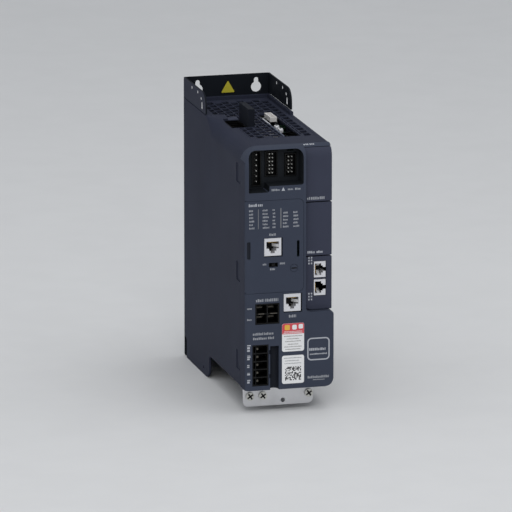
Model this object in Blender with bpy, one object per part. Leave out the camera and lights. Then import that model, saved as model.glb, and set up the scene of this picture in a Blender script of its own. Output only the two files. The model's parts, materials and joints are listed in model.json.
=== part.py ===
"""Compact wall-mounted servo drive, built piece by piece.

X runs left to right, Y from the front (negative) to the wall face (zero), Z up.
The origin lies on the wall face, on the centre line, level with the housing's underside.
Numbers in this file are millimetres; add_piece turns them into metres.
"""
import math

import bmesh
import bpy

METRES_PER_MM = 0.001

# Driving dimensions.
HALF_WIDTH = 42.5
FASCIA_Y = -232.5
COLUMN_Y = -225.3
SEAM_Y = -212.0
TOP_Z = 229.5
WALL = 2.0
GAP = 0.3

# Rear plate and ears.
PLATE_TOP = 252.9
PLATE_BOTTOM = -22.6
PLATE_THICK = 1.5
EAR_FOOT = 233.4
EAR_FRONT = -84.0
KEYHOLE_X = 29.0
KEYHOLE_Z = 239.8
LOWER_EAR_Y = (-96.0, -9.0)

# Housing and grille.
SHOULDER_R = 15.0
REAR_SECTION_Y = -88.0
SHOULDER_RUN = 18.0
REAR_SECTION_TOP = 232.6
GRILLE_X = (-24.0, 39.0)
GRILLE_Y = (-183.0, -6.0)
WING_X = -34.0
POCKET_X = (-29.0, -13.5)
POCKET_Y = (-132.0, -97.0)
WINDOW_X = (9.0, 24.6)
WINDOW_Y = (-181.0, -77.0)

# Front cover.
COLUMN_X = 15.6
COLUMN_FOOT = 72.3
MODULE_PITCH = 51.7
FRONT_R = 4.0
TOP_R = 11.0
RECESS_X = (-39.2, 13.3)
RECESS_Z = (194.7, 228.0)
RECESS_FLOOR_Y = -213.8
RECESS_FOOT_X = -19.5
RECESS_FOOT_Z = 189.0
LID_X = (-42.5, 13.6)
LID_Z = (93.0, 181.5)
LID_THICK = 2.2

# Sockets and headers on the front, as (centre x, centre z).
PANEL_PORT = (-16.2, 136.7)
ENCODER_PORT = (2.6, 82.6)
PORT_SIZE = (16.4, 16.9)
BUS_SOCKET_X = (-33.2, -9.8)
BUS_SOCKET_Z = (63.2, 83.2)
MOTOR_X = (-36.0, -20.3)
MOTOR_Z = (4.2, 43.9)
MOTOR_CELLS = 5
CHANNEL_X = (-18.8, -10.2)
CHANNEL_TOP = 42.0
LATCH_Z = (13.3, 36.3)
LOCK = (4.1, 115.6)
SWITCH_X = (-20.5, -10.9)
SWITCH_Z = (117.2, 122.2)

BUS_PORT_X = 31.1
BUS_PORT_Z = (93.7, 110.9)
BUS_PORT_SIZE = (11.4, 15.4)
PORT_SETBACK = 0.7

# Headers in the connector recess.
RELAY_X = (-31.7, -22.6)
RELAY_Z = (191.2, 225.4)
WIDE_HEADER_X = (-19.3, -6.8)
WIDE_HEADER_Z = (199.7, 224.4)
SMALL_HEADER_X = (-0.6, 11.4)
SMALL_HEADER_Z = (199.2, 221.4)

# Inside.
SINK_FRONT = -46.0
FAN_SIZE = 38.6
FAN_X = 20.2
FAN_Y = -22.4
FAN_Z = (4.0, 24.0)
BOARD_X = (26.6, 28.2)
CONTROL_Y = (-204.0, -202.4)


def material(name, colour, roughness, metallic=0.0):
    """Principled material from an 0-255 colour."""
    made = bpy.data.materials.new(name)
    made.use_nodes = True
    shader = made.node_tree.nodes["Principled BSDF"]
    linear = [(channel / 255.0) ** 2.2 for channel in colour]
    shader.inputs["Base Color"].default_value = (*linear, 1.0)
    shader.inputs["Roughness"].default_value = roughness
    shader.inputs["Metallic"].default_value = metallic
    return made


def box(x, y, z):
    """Closed box between three pairs of coordinates."""
    verts = [(a, b, c) for a in x for b in y for c in z]
    faces = [(0, 1, 3, 2), (4, 6, 7, 5), (0, 4, 5, 1), (2, 3, 7, 6), (0, 2, 6, 4), (1, 5, 7, 3)]
    return verts, faces


def prism(outline, axis, span):
    """Flat outline pushed along one axis; the outline's pair keeps the order of x, y, z."""
    place = {
        "x": lambda u, v, w: (w, u, v),
        "y": lambda u, v, w: (u, w, v),
        "z": lambda u, v, w: (u, v, w),
    }[axis]
    count = len(outline)
    verts = [place(u, v, w) for w in span for u, v in outline]
    faces = [tuple(range(count)), tuple(range(2 * count - 1, count - 1, -1))]
    for i in range(count):
        j = (i + 1) % count
        faces.append((i, j, count + j, count + i))
    return verts, faces


def arc(centre, radius, start, end, steps):
    """Points along an arc, in degrees, both ends included."""
    points = []
    for i in range(steps + 1):
        angle = math.radians(start + (end - start) * i / steps)
        points.append((centre[0] + radius * math.cos(angle), centre[1] + radius * math.sin(angle)))
    return points


def circle(centre, radius, sides=16):
    """Regular outline round a centre."""
    return arc(centre, radius, 0.0, 360.0 * (sides - 1) / sides, sides - 1)


def rounded(u, v, radii, steps=3):
    """Rectangle with its own radius at each corner: low-low, high-low, high-high, low-high."""
    corners = [(u[0], v[0]), (u[1], v[0]), (u[1], v[1]), (u[0], v[1])]
    inward = [(1, 1), (-1, 1), (-1, -1), (1, -1)]
    points = []
    for i, ((cu, cv), (su, sv), radius) in enumerate(zip(corners, inward, radii)):
        if radius <= 0:
            points.append((cu, cv))
            continue
        centre = (cu + su * radius, cv + sv * radius)
        points += arc(centre, radius, 180 + 90 * i, 270 + 90 * i, steps)
    return points


def build_mesh(name, solids, pivot=(0.0, 0.0, 0.0)):
    """One mesh, in metres about the pivot, from closed solids in millimetres."""
    shape = bmesh.new()
    for verts, faces in solids:
        made = []
        for vert in verts:
            made.append(shape.verts.new([(c - p) * METRES_PER_MM for c, p in zip(vert, pivot)]))
        for face in faces:
            shape.faces.new([made[i] for i in face])
    bmesh.ops.recalc_face_normals(shape, faces=shape.faces)
    mesh = bpy.data.meshes.new(name)
    shape.to_mesh(mesh)
    shape.free()
    return mesh


def add_piece(name, look, solids, pivot=(0.0, 0.0, 0.0), smooth=False):
    """One named sub-part whose origin sits at the pivot."""
    piece = bpy.data.objects.new(name, build_mesh(name, solids, pivot))
    piece.location = [c * METRES_PER_MM for c in pivot]
    piece.data.materials.append(look)
    if smooth:
        piece.data.shade_smooth()
        piece.data.set_sharp_from_angle(angle=math.radians(35))
    bpy.context.scene.collection.objects.link(piece)
    return piece


def combine(piece, solids, operation):
    """Boolean the solids into the piece; they must not overlap one another."""
    tool = bpy.data.objects.new(piece.name + "_tool", build_mesh(piece.name + "_tool", solids))
    tool.hide_render = True
    tool.display_type = "WIRE"
    bpy.context.scene.collection.objects.link(tool)
    step = piece.modifiers.new(operation.title(), "BOOLEAN")
    step.operation = operation
    step.object = tool
    return tool


def cut(piece, *solids):
    return combine(piece, solids, "DIFFERENCE")


def fuse(piece, *solids):
    return combine(piece, solids, "UNION")


def span(centre, size):
    """Pair of coordinates either side of a centre."""
    return (centre - size / 2.0, centre + size / 2.0)


def both_sides(x):
    """A pair of coordinates on the right and its mirror on the left."""
    return [x, (-x[1], -x[0])]


# Rear plate, heatsink and fans.


def keyhole(centre_x):
    """Keyhole outline: a round entry with a narrow slot above."""
    half_slot = 2.3
    entry_r = 5.2
    meet = math.degrees(math.asin(half_slot / entry_r))
    points = arc((centre_x, KEYHOLE_Z), entry_r, 90 + meet, 450 - meet, 12)
    points += arc((centre_x, KEYHOLE_Z + 7.2), half_slot, 0, 180, 4)
    return prism(points, "y", (-5.0, 5.0))


def make_rear_bracket(look):
    """Folded sheet: wall plate with an ear down each side above the housing."""
    plate = rounded((-HALF_WIDTH, HALF_WIDTH), (PLATE_BOTTOM, PLATE_TOP), (2, 2, 2, 2), 2)
    piece = add_piece("rear_bracket", look, [prism(plate, "y", (-PLATE_THICK, 0.0))])
    ear = rounded((EAR_FRONT, -0.7), (EAR_FOOT, PLATE_TOP), (0, 0, 0, 13.0), 6)
    fuse(piece, *[prism(ear, "x", x) for x in both_sides((HALF_WIDTH - PLATE_THICK, HALF_WIDTH))])
    openings = [keyhole(-KEYHOLE_X), keyhole(KEYHOLE_X)]
    for x in (-KEYHOLE_X, KEYHOLE_X):
        foot = rounded(span(x, 5.2), (PLATE_BOTTOM - 5.0, PLATE_BOTTOM + 11.0), (0, 0, 2.6, 2.6))
        openings.append(prism(foot, "y", (-5.0, 5.0)))
    cut(piece, *openings)
    holes = [prism(circle((y, 249.2), 1.4, 10), "x", (-50.0, 50.0)) for y in (-32.3, -54.5)]
    holes.append(prism(circle((-67.5, 245.5), 1.4, 10), "x", (-50.0, 50.0)))
    holes.append(prism(rounded((-72.2, -69.2), (236.0, 242.8), (1.4, 1.4, 1.4, 1.4)), "x", (-50.0, 50.0)))
    cut(piece, *holes)


def make_heatsink(look):
    """Extruded comb: fins stand on a base plate and reach back to the wall plate."""
    fins = 11
    pitch = 7.2
    thick = 1.6
    outline = [(-39.0, SINK_FRONT), (39.0, SINK_FRONT), (39.0, -40.0)]
    for i in reversed(range(fins)):
        x = (i - (fins - 1) / 2.0) * pitch
        left, right = span(x, thick)
        outline += [(right, -40.0), (right, -4.0), (left, -4.0), (left, -40.0)]
    outline.append((-39.0, -40.0))
    add_piece("heatsink", look, [prism(outline, "z", (30.0, 218.0))])


def make_fans(frame_look, rotor_look):
    """Two axial fans under the heatsink; each rotor turns about its own upright axis."""
    blades = 7
    for side, x in (("left", -FAN_X), ("right", FAN_X)):
        outline = rounded(span(x, FAN_SIZE), span(FAN_Y, FAN_SIZE), (3, 3, 3, 3))
        frame = add_piece(f"fan_{side}_frame", frame_look, [prism(outline, "z", FAN_Z)])
        cut(frame, prism(circle((x, FAN_Y), 18.0, 24), "z", (FAN_Z[0] + 3.0, 40.0)))
        inlet = [prism(arc((x, FAN_Y), 17.0, 8 + 90 * i, 82 + 90 * i, 6)
                       + arc((x, FAN_Y), 9.5, 82 + 90 * i, 8 + 90 * i, 4), "z", (0.0, FAN_Z[0] + 5.0))
                 for i in range(4)]
        cut(frame, *inlet)
        hub = prism(circle((x, FAN_Y), 8.5, 20), "z", (FAN_Z[0] + 3.6, FAN_Z[1] - 0.6))
        rotor = add_piece(f"fan_{side}_rotor", rotor_look, [hub], (x, FAN_Y, 14.0), True)
        fuse(rotor, *[fan_blade(x, 360.0 * i / blades) for i in range(blades)])


def fan_blade(x, turn):
    """Pitched blade from the hub to just inside the frame."""
    low = 9.0
    high = 21.0
    sweep = 30.0
    verts = []
    for z, lag in ((low, 0.0), (high, sweep)):
        for radius in (6.5, 17.0):
            for width in (-5.0, 5.0):
                angle = math.radians(turn + lag + width * 8.5 / radius)
                verts.append((x + radius * math.cos(angle), FAN_Y + radius * math.sin(angle), z))
    faces = [(0, 1, 3, 2), (4, 6, 7, 5), (0, 4, 5, 1), (2, 3, 7, 6), (0, 2, 6, 4), (1, 5, 7, 3)]
    return verts, faces


# Housing, its grilles and what shows through them.


def housing_outline(inset):
    """Housing section seen from the front, with the soft shoulder at the upper left."""
    half = HALF_WIDTH - inset
    return rounded((-half, half), (inset, TOP_Z - inset), (1.5, 1.5, 1.0, SHOULDER_R - inset), 5)


def loft(first, last, low, high):
    """Solid between two outlines of equal count, one at each depth, with triangles round the side."""
    count = len(first)
    verts = [(u, low, v) for u, v in first] + [(u, high, v) for u, v in last]
    faces = [tuple(range(count)), tuple(range(2 * count - 1, count - 1, -1))]
    for i in range(count):
        j = (i + 1) % count
        faces += [(i, j, count + j), (i, count + j, count + i)]
    return verts, faces


def make_housing(look):
    """Sleeve open at the front and the back, raised at the rear, with ears hanging below."""
    piece = add_piece("housing", look, [prism(housing_outline(0.0), "y", (SEAM_Y, -1.9))])
    square = rounded((-HALF_WIDTH, HALF_WIDTH), (200.0, REAR_SECTION_TOP), (0, 0, 1, 1), 5)
    fuse(piece, prism(square, "y", (REAR_SECTION_Y, -1.9)))
    left_half = (-HALF_WIDTH, GRILLE_X[0] + 4.0)
    raised = rounded(left_half, (200.0, REAR_SECTION_TOP), (0, 0, 0, 1), 5)
    soft = rounded(left_half, (200.0, TOP_Z), (0, 0, 0, SHOULDER_R), 5)
    fuse(piece, loft(soft, raised, REAR_SECTION_Y - SHOULDER_RUN, REAR_SECTION_Y))
    front, rear = LOWER_EAR_Y
    ear = [(front - 4.0, 3.0)] + arc((front - 4.0, -4.0), 4.0, 90, 0, 3)
    ear += arc((front + 12.0, PLATE_BOTTOM + 12.0), 12.0, 180, 270, 5)
    ear += [(rear, PLATE_BOTTOM), (rear, -5.0), (-7.0, -3.2), (-1.9, -3.2), (-1.9, 3.0)]
    fuse(piece, *[prism(ear, "x", x) for x in both_sides((HALF_WIDTH - WALL, HALF_WIDTH))])
    cut(piece, prism(housing_outline(WALL), "y", (SEAM_Y - 5.0, 5.0)))
    top = (TOP_Z - 5.0, REAR_SECTION_TOP + 5.0)
    cut(piece, box(GRILLE_X, GRILLE_Y, top), box((-36.0, 36.0), (-120.0, -6.0), (-5.0, 5.0)))
    cut(piece, box((WING_X, -23.0), (REAR_SECTION_Y + 3.0, -6.0), top))
    cut(piece, box((POCKET_X[0], -23.0), POCKET_Y, top))
    recesses = [box(x, (SEAM_Y - 5.0, -199.0), span(z, 18.0))
                for z in (203.0, 109.0, 24.0) for x in both_sides((HALF_WIDTH - 0.8, 50.0))]
    recesses.append(prism(circle((-74.3, -15.8), 1.7, 10), "x", (-50.0, 50.0)))
    cut(piece, *recesses)


def make_top_grille(look):
    """Vented plate that fills the opening in the housing's top."""
    x = (GRILLE_X[0] + GAP, GRILLE_X[1] - GAP)
    y = (GRILLE_Y[0] + GAP, GRILLE_Y[1] - GAP)
    z = (TOP_Z - 1.8, TOP_Z)
    piece = add_piece("top_grille", look, [box(x, y, z)])
    fuse(piece, box((WING_X + GAP, -23.0), (REAR_SECTION_Y + 3.0 + GAP, y[1]), z))
    cut(piece, box((POCKET_X[0] - 5.0, POCKET_X[1] + 7.1), POCKET_Y, (200.0, 260.0)),
        box(WINDOW_X, WINDOW_Y, (200.0, 260.0)))
    slots = []
    for row in range(5):
        depth = span(-172.0 + row * 9.0, 5.0)
        slots.append(box((-21.0, 6.0), depth, (200.0, 260.0)))
    for row in range(7):
        depth = span(-78.0 + row * 10.0, 6.0)
        slots.append(box((-21.0, 6.0), depth, (200.0, 260.0)))
        slots.append(box((-31.5, -24.0), depth, (200.0, 260.0)))
    for row in range(13):
        depth = span(-170.0 + row * 12.5, 8.0)
        slots.append(box((28.0, 37.0), depth, (200.0, 260.0)))
    cut(piece, *slots)


def make_bottom_grille(look):
    """Vented plate under the fans."""
    piece = add_piece("bottom_grille", look, [box((-35.7, 35.7), (-119.7, -6.3), (0.0, 1.8))])
    slots = []
    for row in range(8):
        depth = span(-112.0 + row * 13.8, 9.0)
        slots += [box((-32.0, -2.0), depth, (-5.0, 5.0)), box((2.0, 32.0), depth, (-5.0, 5.0))]
    cut(piece, *slots)


def make_mains_inlet(body_look, pin_look, block_look):
    """Mains header sunk in the top, with the key block that stands beside it."""
    x = (POCKET_X[0] + GAP, POCKET_X[1] - GAP)
    y = (POCKET_Y[0] + GAP, POCKET_Y[1] - GAP)
    body = add_piece("mains_header", body_look, [box(x, y, (206.0, TOP_Z - 0.6))])
    cells = 4
    pitch = (y[1] - y[0] - 2.0) / cells
    rows = [y[0] + 1.0 + pitch * (i + 0.5) for i in range(cells)]
    cut(body, *[box((x[0] + 1.6, x[1] - 1.6), span(row, pitch - 1.2), (211.0, 240.0)) for row in rows])
    middle = (x[0] + x[1]) / 2
    cut(body, *[box(span(middle, 2.2), span(row, 2.2), (200.0, 215.0)) for row in rows])
    strip = box(span(middle, 2.4), (y[0] + 3.0, y[1] - 3.0), (203.0, 205.2))
    pins = add_piece("mains_pins", pin_look, [strip])
    fuse(pins, *[box(span(middle, 1.4), span(row, 1.4), (204.0, 222.0)) for row in rows])
    block_x = (POCKET_X[1] + GAP, POCKET_X[1] + 6.6)
    block = add_piece("key_block", block_look, [box(block_x, y, (212.0, 246.5))])
    cut(block, box((block_x[0] + 1.5, block_x[1] - 1.5), (y[0] + 1.5, y[1] - 1.5), (200.0, 245.0)))


def make_window_connectors(white, metal, black, pin_look):
    """Connectors on the power board's upper edge, seen through the long opening."""
    board_face = BOARD_X[0] - 0.4
    plug = add_piece("white_connector", white, [box((15.8, 22.4), (-103.0, -81.0), (226.6, 231.2))])
    cut(plug, *[box((17.1, 21.1), span(y, 5.8), (228.0, 240.0)) for y in (-98.7, -92.0, -85.3)])
    clip = [(9.6, 213.0), (14.9, 213.0), (14.9, 224.0), (13.4, 224.0), (13.4, 214.5), (11.1, 214.5)]
    clip += [(11.1, 229.0), (9.6, 229.0)]
    add_piece("earth_clip", metal, [prism(clip, "y", (-122.0, -96.0))])
    link = add_piece("bus_link", metal, [box((11.5, 18.5), (-150.0, -124.0), (210.0, 213.0))])
    fuse(link, *[box((12.8, 16.6), span(y, 6.0), (212.0, 228.4)) for y in (-131.0, -145.0)])
    socket = add_piece("black_connector", black, [box((13.6, board_face), (-180.0, -153.0), (211.0, 227.2))])
    cells = 4
    rows = [-176.5 + 6.6 * i for i in range(cells)]
    middle = 19.6
    cut(socket, *[box(span(middle, 9.0), span(row, 5.0), (215.0, 240.0)) for row in rows])
    carrier = add_piece("clip_carrier", black, [box((8.0, 19.0), (-152.0, -88.0), (205.0, 209.6))])
    fuse(carrier, box((16.5, board_face), (-118.0, -100.0), (205.0, 209.6)))
    fuse(carrier, box((16.6, 21.6), (-99.0, -89.0), (207.0, 226.3)))
    strip = box(span(middle, 1.6), (-178.0, -155.0), (207.4, 209.4))
    pins = add_piece("black_connector_pins", pin_look, [strip])
    fuse(pins, *[box(span(middle, 1.2), span(row, 1.2), (208.0, 222.0)) for row in rows])
    cut(socket, *[box(span(middle, 2.0), span(row, 1.8), (200.0, 217.0)) for row in rows])


# Front cover and everything on it.


def recess_outline(inset=0.0):
    """Connector recess seen from the front: a wide bay with a foot at the lower left."""
    x = (RECESS_X[0] - inset, RECESS_X[1] + inset)
    z = (RECESS_Z[0] - inset, RECESS_Z[1] + inset)
    foot_x = RECESS_FOOT_X + inset
    foot_z = RECESS_FOOT_Z - inset
    points = [(x[0], foot_z)]
    points += arc((foot_x - 1.5, foot_z + 1.5), 1.5, 270, 360, 2)
    points += [(foot_x, z[0])]
    points += arc((x[1] - 2.0, z[0] + 2.0), 2.0, 270, 360, 2)
    points += arc((x[1] - 6.0, z[1] - 6.0), 6.0, 0, 90, 4)
    points += arc((x[0] + 9.0, z[1] - 9.0), 9.0, 90, 180, 6)
    return points


def fascia_section(inset, left_drop, top_drop):
    """Fascia seen from the front at one depth: left of the module column, and all of the foot."""
    half = HALF_WIDTH - inset
    outline = [(left_drop - half, inset)] + arc((half - 8.0, inset + 8.0), 8.0, 270, 360, 4)
    outline += arc((half - 3.0, COLUMN_FOOT - inset - 3.0), 3.0, 0, 90, 3)
    outline += arc((COLUMN_X - inset + 5.0, COLUMN_FOOT - inset + 5.0), 5.0, 270, 180, 3)
    outline += [(COLUMN_X - inset, TOP_Z - inset - top_drop)]
    wide = SHOULDER_R - inset - left_drop
    high = SHOULDER_R - inset - top_drop
    for u, v in arc((0.0, 0.0), 1.0, 90, 180, 7):
        outline.append((SHOULDER_R - HALF_WIDTH + wide * u, TOP_Z - SHOULDER_R + high * v))
    return outline


def round_over(radius, depth):
    """How far a rounded edge still stands back at some depth behind the front."""
    if depth >= radius:
        return 0.0
    return radius - math.sqrt(radius ** 2 - (radius - depth) ** 2)


def fascia_block(inset, rear):
    """Block behind the fascia, its left and top edges rounded over to the front."""
    top_r = TOP_R - inset
    left_r = FRONT_R - inset
    front = FASCIA_Y + inset
    depths = {top_r * (1.0 - math.cos(math.radians(turn))) for turn in (0, 15, 30, 45, 60, 75, 90)}
    depths |= {left_r * (1.0 - math.cos(math.radians(turn))) for turn in (30, 60, 90)}
    depths.add(rear - front)
    verts = []
    levels = sorted(depths)
    for depth in levels:
        section = fascia_section(inset, round_over(left_r, depth), round_over(top_r, depth))
        verts += [(u, front + depth, v) for u, v in section]
    count = len(section)
    last = (len(levels) - 1) * count
    faces = [tuple(range(count)), tuple(range(last + count - 1, last - 1, -1))]
    for base in range(0, last, count):
        for i in range(count):
            j = (i + 1) % count
            faces += [(base + i, base + j, base + count + j), (base + i, base + count + j, base + count + i)]
    return verts, faces


def make_front_cover(look):
    """Moulded cover: fascia, connector recess, plug channel and the strap over the module column."""
    block = fascia_block(0.0, SEAM_Y - GAP)
    piece = add_piece("front_cover", look, [block])
    cut(piece, fascia_block(WALL, SEAM_Y + 5.0))
    tub = fuse(piece, prism(recess_outline(1.4), "y", (FASCIA_Y + 1.0, RECESS_FLOOR_Y + 1.4)))
    combine(tub, [block], "INTERSECT")
    fuse(piece, prism(channel_outline(1.4), "z", (1.0, CHANNEL_TOP + 1.4)))
    fuse(piece, column_strap())
    cut(piece, prism(recess_outline(), "y", (FASCIA_Y - 5.0, RECESS_FLOOR_Y)))
    cut(piece, *front_openings())
    cut(piece, *header_windows())
    cut(piece, prism(channel_outline(), "z", (-5.0, CHANNEL_TOP)))
    cut(piece, *latch_notches())


def channel_outline(inset=0.0):
    """Plug channel seen from above: straight walls closed by a half round."""
    middle = sum(CHANNEL_X) / 2
    radius = (CHANNEL_X[1] - CHANNEL_X[0]) / 2 + inset
    mouth = FASCIA_Y + 1.0 if inset else FASCIA_Y - 5.0
    back = arc((middle, FASCIA_Y + 3.0), radius, 0, 180, 8)
    return [(middle + radius, mouth)] + back + [(middle - radius, mouth)]


def top_waste(front):
    """Waste that rounds a front face over to the top."""
    centre = (front + TOP_R, TOP_Z - TOP_R)
    outline = arc(centre, TOP_R, 180, 90, 5)
    outline += [(centre[0], TOP_Z + 5.0), (front - 5.0, TOP_Z + 5.0), (front - 5.0, centre[1])]
    return prism(outline, "x", (-60.0, 60.0))


def left_waste():
    """Waste that rounds the lid's left edge over to the side."""
    centre = (-HALF_WIDTH + FRONT_R, FASCIA_Y + FRONT_R)
    outline = arc(centre, FRONT_R, 180, 270, 4)
    beyond = (-HALF_WIDTH - 5.0, FASCIA_Y - 5.0)
    outline += [(centre[0], beyond[1]), beyond, (beyond[0], centre[1])]
    return prism(outline, "z", (-20.0, TOP_Z - TOP_R - 2.0))


def column_strap():
    """Strip of the cover over the column's uppermost block, following its rounding."""
    low = column_block(2)[1] + 0.5
    centre = (COLUMN_Y + TOP_R, TOP_Z - TOP_R)
    start = math.degrees(math.acos((low - centre[1]) / TOP_R)) + 90
    outline = [(SEAM_Y - GAP, low)] + arc(centre, TOP_R, start, 90, 4) + [(SEAM_Y - GAP, TOP_Z)]
    return prism(outline, "x", (COLUMN_X - 1.0, HALF_WIDTH))


def front_openings():
    """Windows in the fascia for the lid, the sockets and the motor header."""
    through = (FASCIA_Y - 5.0, FASCIA_Y + 4.0)
    lid = rounded((-60.0, LID_X[1]), LID_Z, (0, 5, 5, 0))
    return [
        prism(lid, "y", (FASCIA_Y - 5.0, FASCIA_Y + LID_THICK + 2.0)),
        port_window(ENCODER_PORT, through),
        box(BUS_SOCKET_X, through, BUS_SOCKET_Z),
        box(MOTOR_X, through, MOTOR_Z),
    ]


def header_windows():
    """Windows in the recess floor that the three headers stand through."""
    through = (RECESS_FLOOR_Y - 3.0, RECESS_FLOOR_Y + 3.0)
    pairs = ((RELAY_X, RELAY_Z), (WIDE_HEADER_X, WIDE_HEADER_Z), (SMALL_HEADER_X, SMALL_HEADER_Z))
    windows = [box(x, through, z) for x, z in pairs]
    windows.append(box((2.4, 8.4), through, (223.2, 225.8)))
    return windows


def latch_notches():
    """Two notches in the land between the motor header and the plug channel."""
    x = (MOTOR_X[1] - 1.0, CHANNEL_X[0] + 1.0)
    return [box(x, (FASCIA_Y - 5.0, FASCIA_Y + 3.0), span(z, 4.0)) for z in LATCH_Z]


def port_window(port, through):
    """Opening round a modular socket, wider on its right and below than the socket itself."""
    left, right = span(port[0], PORT_SIZE[0])
    low, high = span(port[1], PORT_SIZE[1])
    return box((left - GAP, right + 1.2), through, (low - 0.9, high + GAP))


def make_lid(look):
    """Snap-on cover over the control terminals, wrapped a little round the left edge."""
    y = (FASCIA_Y, FASCIA_Y + LID_THICK)
    z = (LID_Z[0] + GAP, LID_Z[1] - GAP)
    outline = rounded((LID_X[0], LID_X[1] - GAP), z, (0.5, 4.7, 4.7, 0.5))
    piece = add_piece("io_cover", look, [prism(outline, "y", y)])
    skirt = box((LID_X[0], LID_X[0] + WALL), (FASCIA_Y + 1.0, FASCIA_Y + 4.0 - GAP), (z[0] + 1.0, z[1] - 1.0))
    fuse(piece, skirt)
    through = (FASCIA_Y - 5.0, FASCIA_Y + 6.0)
    openings = [
        port_window(PANEL_PORT, through),
        box((SWITCH_X[0] + 0.4, SWITCH_X[1] - 0.4), through, (SWITCH_Z[0] + 0.4, SWITCH_Z[1] - 0.4)),
        prism(circle(LOCK, 3.8, 16), "y", through),
        prism(rounded((6.9, 9.4), (126.2, 141.8), (0.8, 0.8, 0.8, 0.8)), "y", through),
        prism(rounded((-41.2, -37.8), (126.2, 142.6), (1.6, 0.8, 0.8, 1.6)), "y",
              (FASCIA_Y - 5.0, FASCIA_Y + 0.9)),
    ]
    cut(piece, *openings)
    cut(piece, left_waste())


def make_lock(look):
    """Slotted quarter-turn fastener; its origin is on its own axis."""
    head = prism(circle(LOCK, 3.5, 20), "y", (FASCIA_Y - 0.2, FASCIA_Y + 5.0))
    piece = add_piece("lid_lock", look, [head], (LOCK[0], FASCIA_Y + 2.0, LOCK[1]), True)
    cut(piece, box(span(LOCK[0], 5.2), (FASCIA_Y - 5.0, FASCIA_Y + 1.6), span(LOCK[1], 1.2)))


def make_switch(body_look, knob_look):
    """Three-position slide switch behind the lid."""
    middle_x = sum(SWITCH_X) / 2
    middle_z = sum(SWITCH_Z) / 2
    y = (FASCIA_Y + LID_THICK + GAP, FASCIA_Y + LID_THICK + 5.0)
    body = add_piece("switch_body", body_look, [box((SWITCH_X[0] - 0.6, SWITCH_X[1] + 0.6), y,
                                                    (SWITCH_Z[0] - 0.6, SWITCH_Z[1] + 0.6))])
    cut(body, box((SWITCH_X[0] + 0.6, SWITCH_X[1] - 0.6), (y[0] - 5.0, y[0] + 2.4),
                  (SWITCH_Z[0] + 0.8, SWITCH_Z[1] - 0.8)))
    knob = box(span(middle_x, 3.2), (FASCIA_Y + 0.6, y[0] + 2.0), span(middle_z, 2.6))
    add_piece("switch_knob", knob_look, [knob], (middle_x, FASCIA_Y + 2.0, middle_z))


def port_solids(x, y, z, notch):
    """Modular socket shell and its cavity; the notch points down (0) or to the right (90)."""
    size = BUS_PORT_SIZE if notch else PORT_SIZE
    shell = box(span(x, size[0]), y, span(z, size[1]))
    deep = (y[0] - 5.0, y[0] + 11.0)
    if notch:
        steps = ((-4.6, 1.4, 5.6), (1.4, 3.0, 3.4), (3.0, size[0], 1.9))
        hollow = stepped([(x + a, x + b, half) for a, b, half in steps], z, True)
    else:
        steps = ((-1.6, 5.0, 6.0), (-3.9, -1.6, 3.4), (-6.0, -3.9, 1.9))
        hollow = stepped([(z + a, z + b, half) for a, b, half in steps], x, False)
    return shell, prism(hollow, "y", deep)


def stepped(bands, middle, along_x):
    """Outline of a cavity that narrows in steps; each band is low, high, half width."""
    bands = sorted(bands)
    side = []
    for low, high, half in bands:
        side += [(low, half), (high, half)]
    outline = [(along, middle + half) for along, half in side]
    outline += [(along, middle - half) for along, half in reversed(side)]
    if along_x:
        return outline
    return [(across, along) for along, across in outline]


def make_port(name, look, contact_look, x, z, front, notch):
    """Modular socket with its row of contacts joined at the back."""
    y = (front, front + 14.0)
    shell, hollow = port_solids(x, y, z, notch)
    piece = add_piece(name, look, [shell])
    cut(piece, hollow)
    contacts = 8
    pitch = 1.02
    back = (front + 9.6, front + 10.7)
    if notch:
        wall_x = x - 4.6
        strip = box((wall_x + 0.3, wall_x + 2.1), back, span(z, contacts * pitch))
        wires = [box((wall_x + 0.4, wall_x + 1.0), (front + 1.6, front + 10.0),
                     span(z + (i - 3.5) * pitch, 0.45)) for i in range(contacts)]
    else:
        wall_z = z + 5.0
        strip = box(span(x, contacts * pitch), back, (wall_z - 2.1, wall_z - 0.3))
        wires = [box(span(x + (i - 3.5) * pitch, 0.45), (front + 1.6, front + 10.0),
                     (wall_z - 1.0, wall_z - 0.4)) for i in range(contacts)]
    row = add_piece(name + "_contacts", contact_look, [strip])
    fuse(row, *wires)


def header(name, body_look, pin_look, x, z, columns, rows, pitch, column_pitch=0.0):
    """Pluggable header standing through the recess floor, with tin pins in a shared carrier."""
    y = (RECESS_FLOOR_Y - 1.2, -205.4)
    outer_x = (x[0] + GAP, x[1] - GAP)
    outer_z = (z[0] + GAP, z[1] - GAP)
    body = add_piece(name, body_look, [box(outer_x, y, outer_z)])
    rim = 1.0
    inner_x = (outer_x[0] + rim, outer_x[1] - rim)
    inner_z = (outer_z[0] + rim, outer_z[1] - rim)
    cut(body, box(inner_x, (y[0] - 5.0, -207.6), inner_z))
    reach_x = (columns - 1) * column_pitch
    reach_z = (rows - 1) * pitch
    places = []
    for i in range(columns):
        for j in range(rows):
            first_x = sum(x) / 2 - reach_x / 2
            first_z = sum(z) / 2 - reach_z / 2
            places.append((first_x + i * column_pitch, first_z + j * pitch))
    cut(body, *[box(span(px, 1.5), (-210.0, -200.0), span(pz, 1.5)) for px, pz in places])
    strip = box(span(sum(x) / 2, reach_x + 1.6), (-205.1, -204.3), span(sum(z) / 2, reach_z + 1.6))
    carrier = add_piece(name + "_pins", pin_look, [strip])
    fuse(carrier, *[box(span(px, 1.0), (-213.4, -204.6), span(pz, 1.0)) for px, pz in places])


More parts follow.
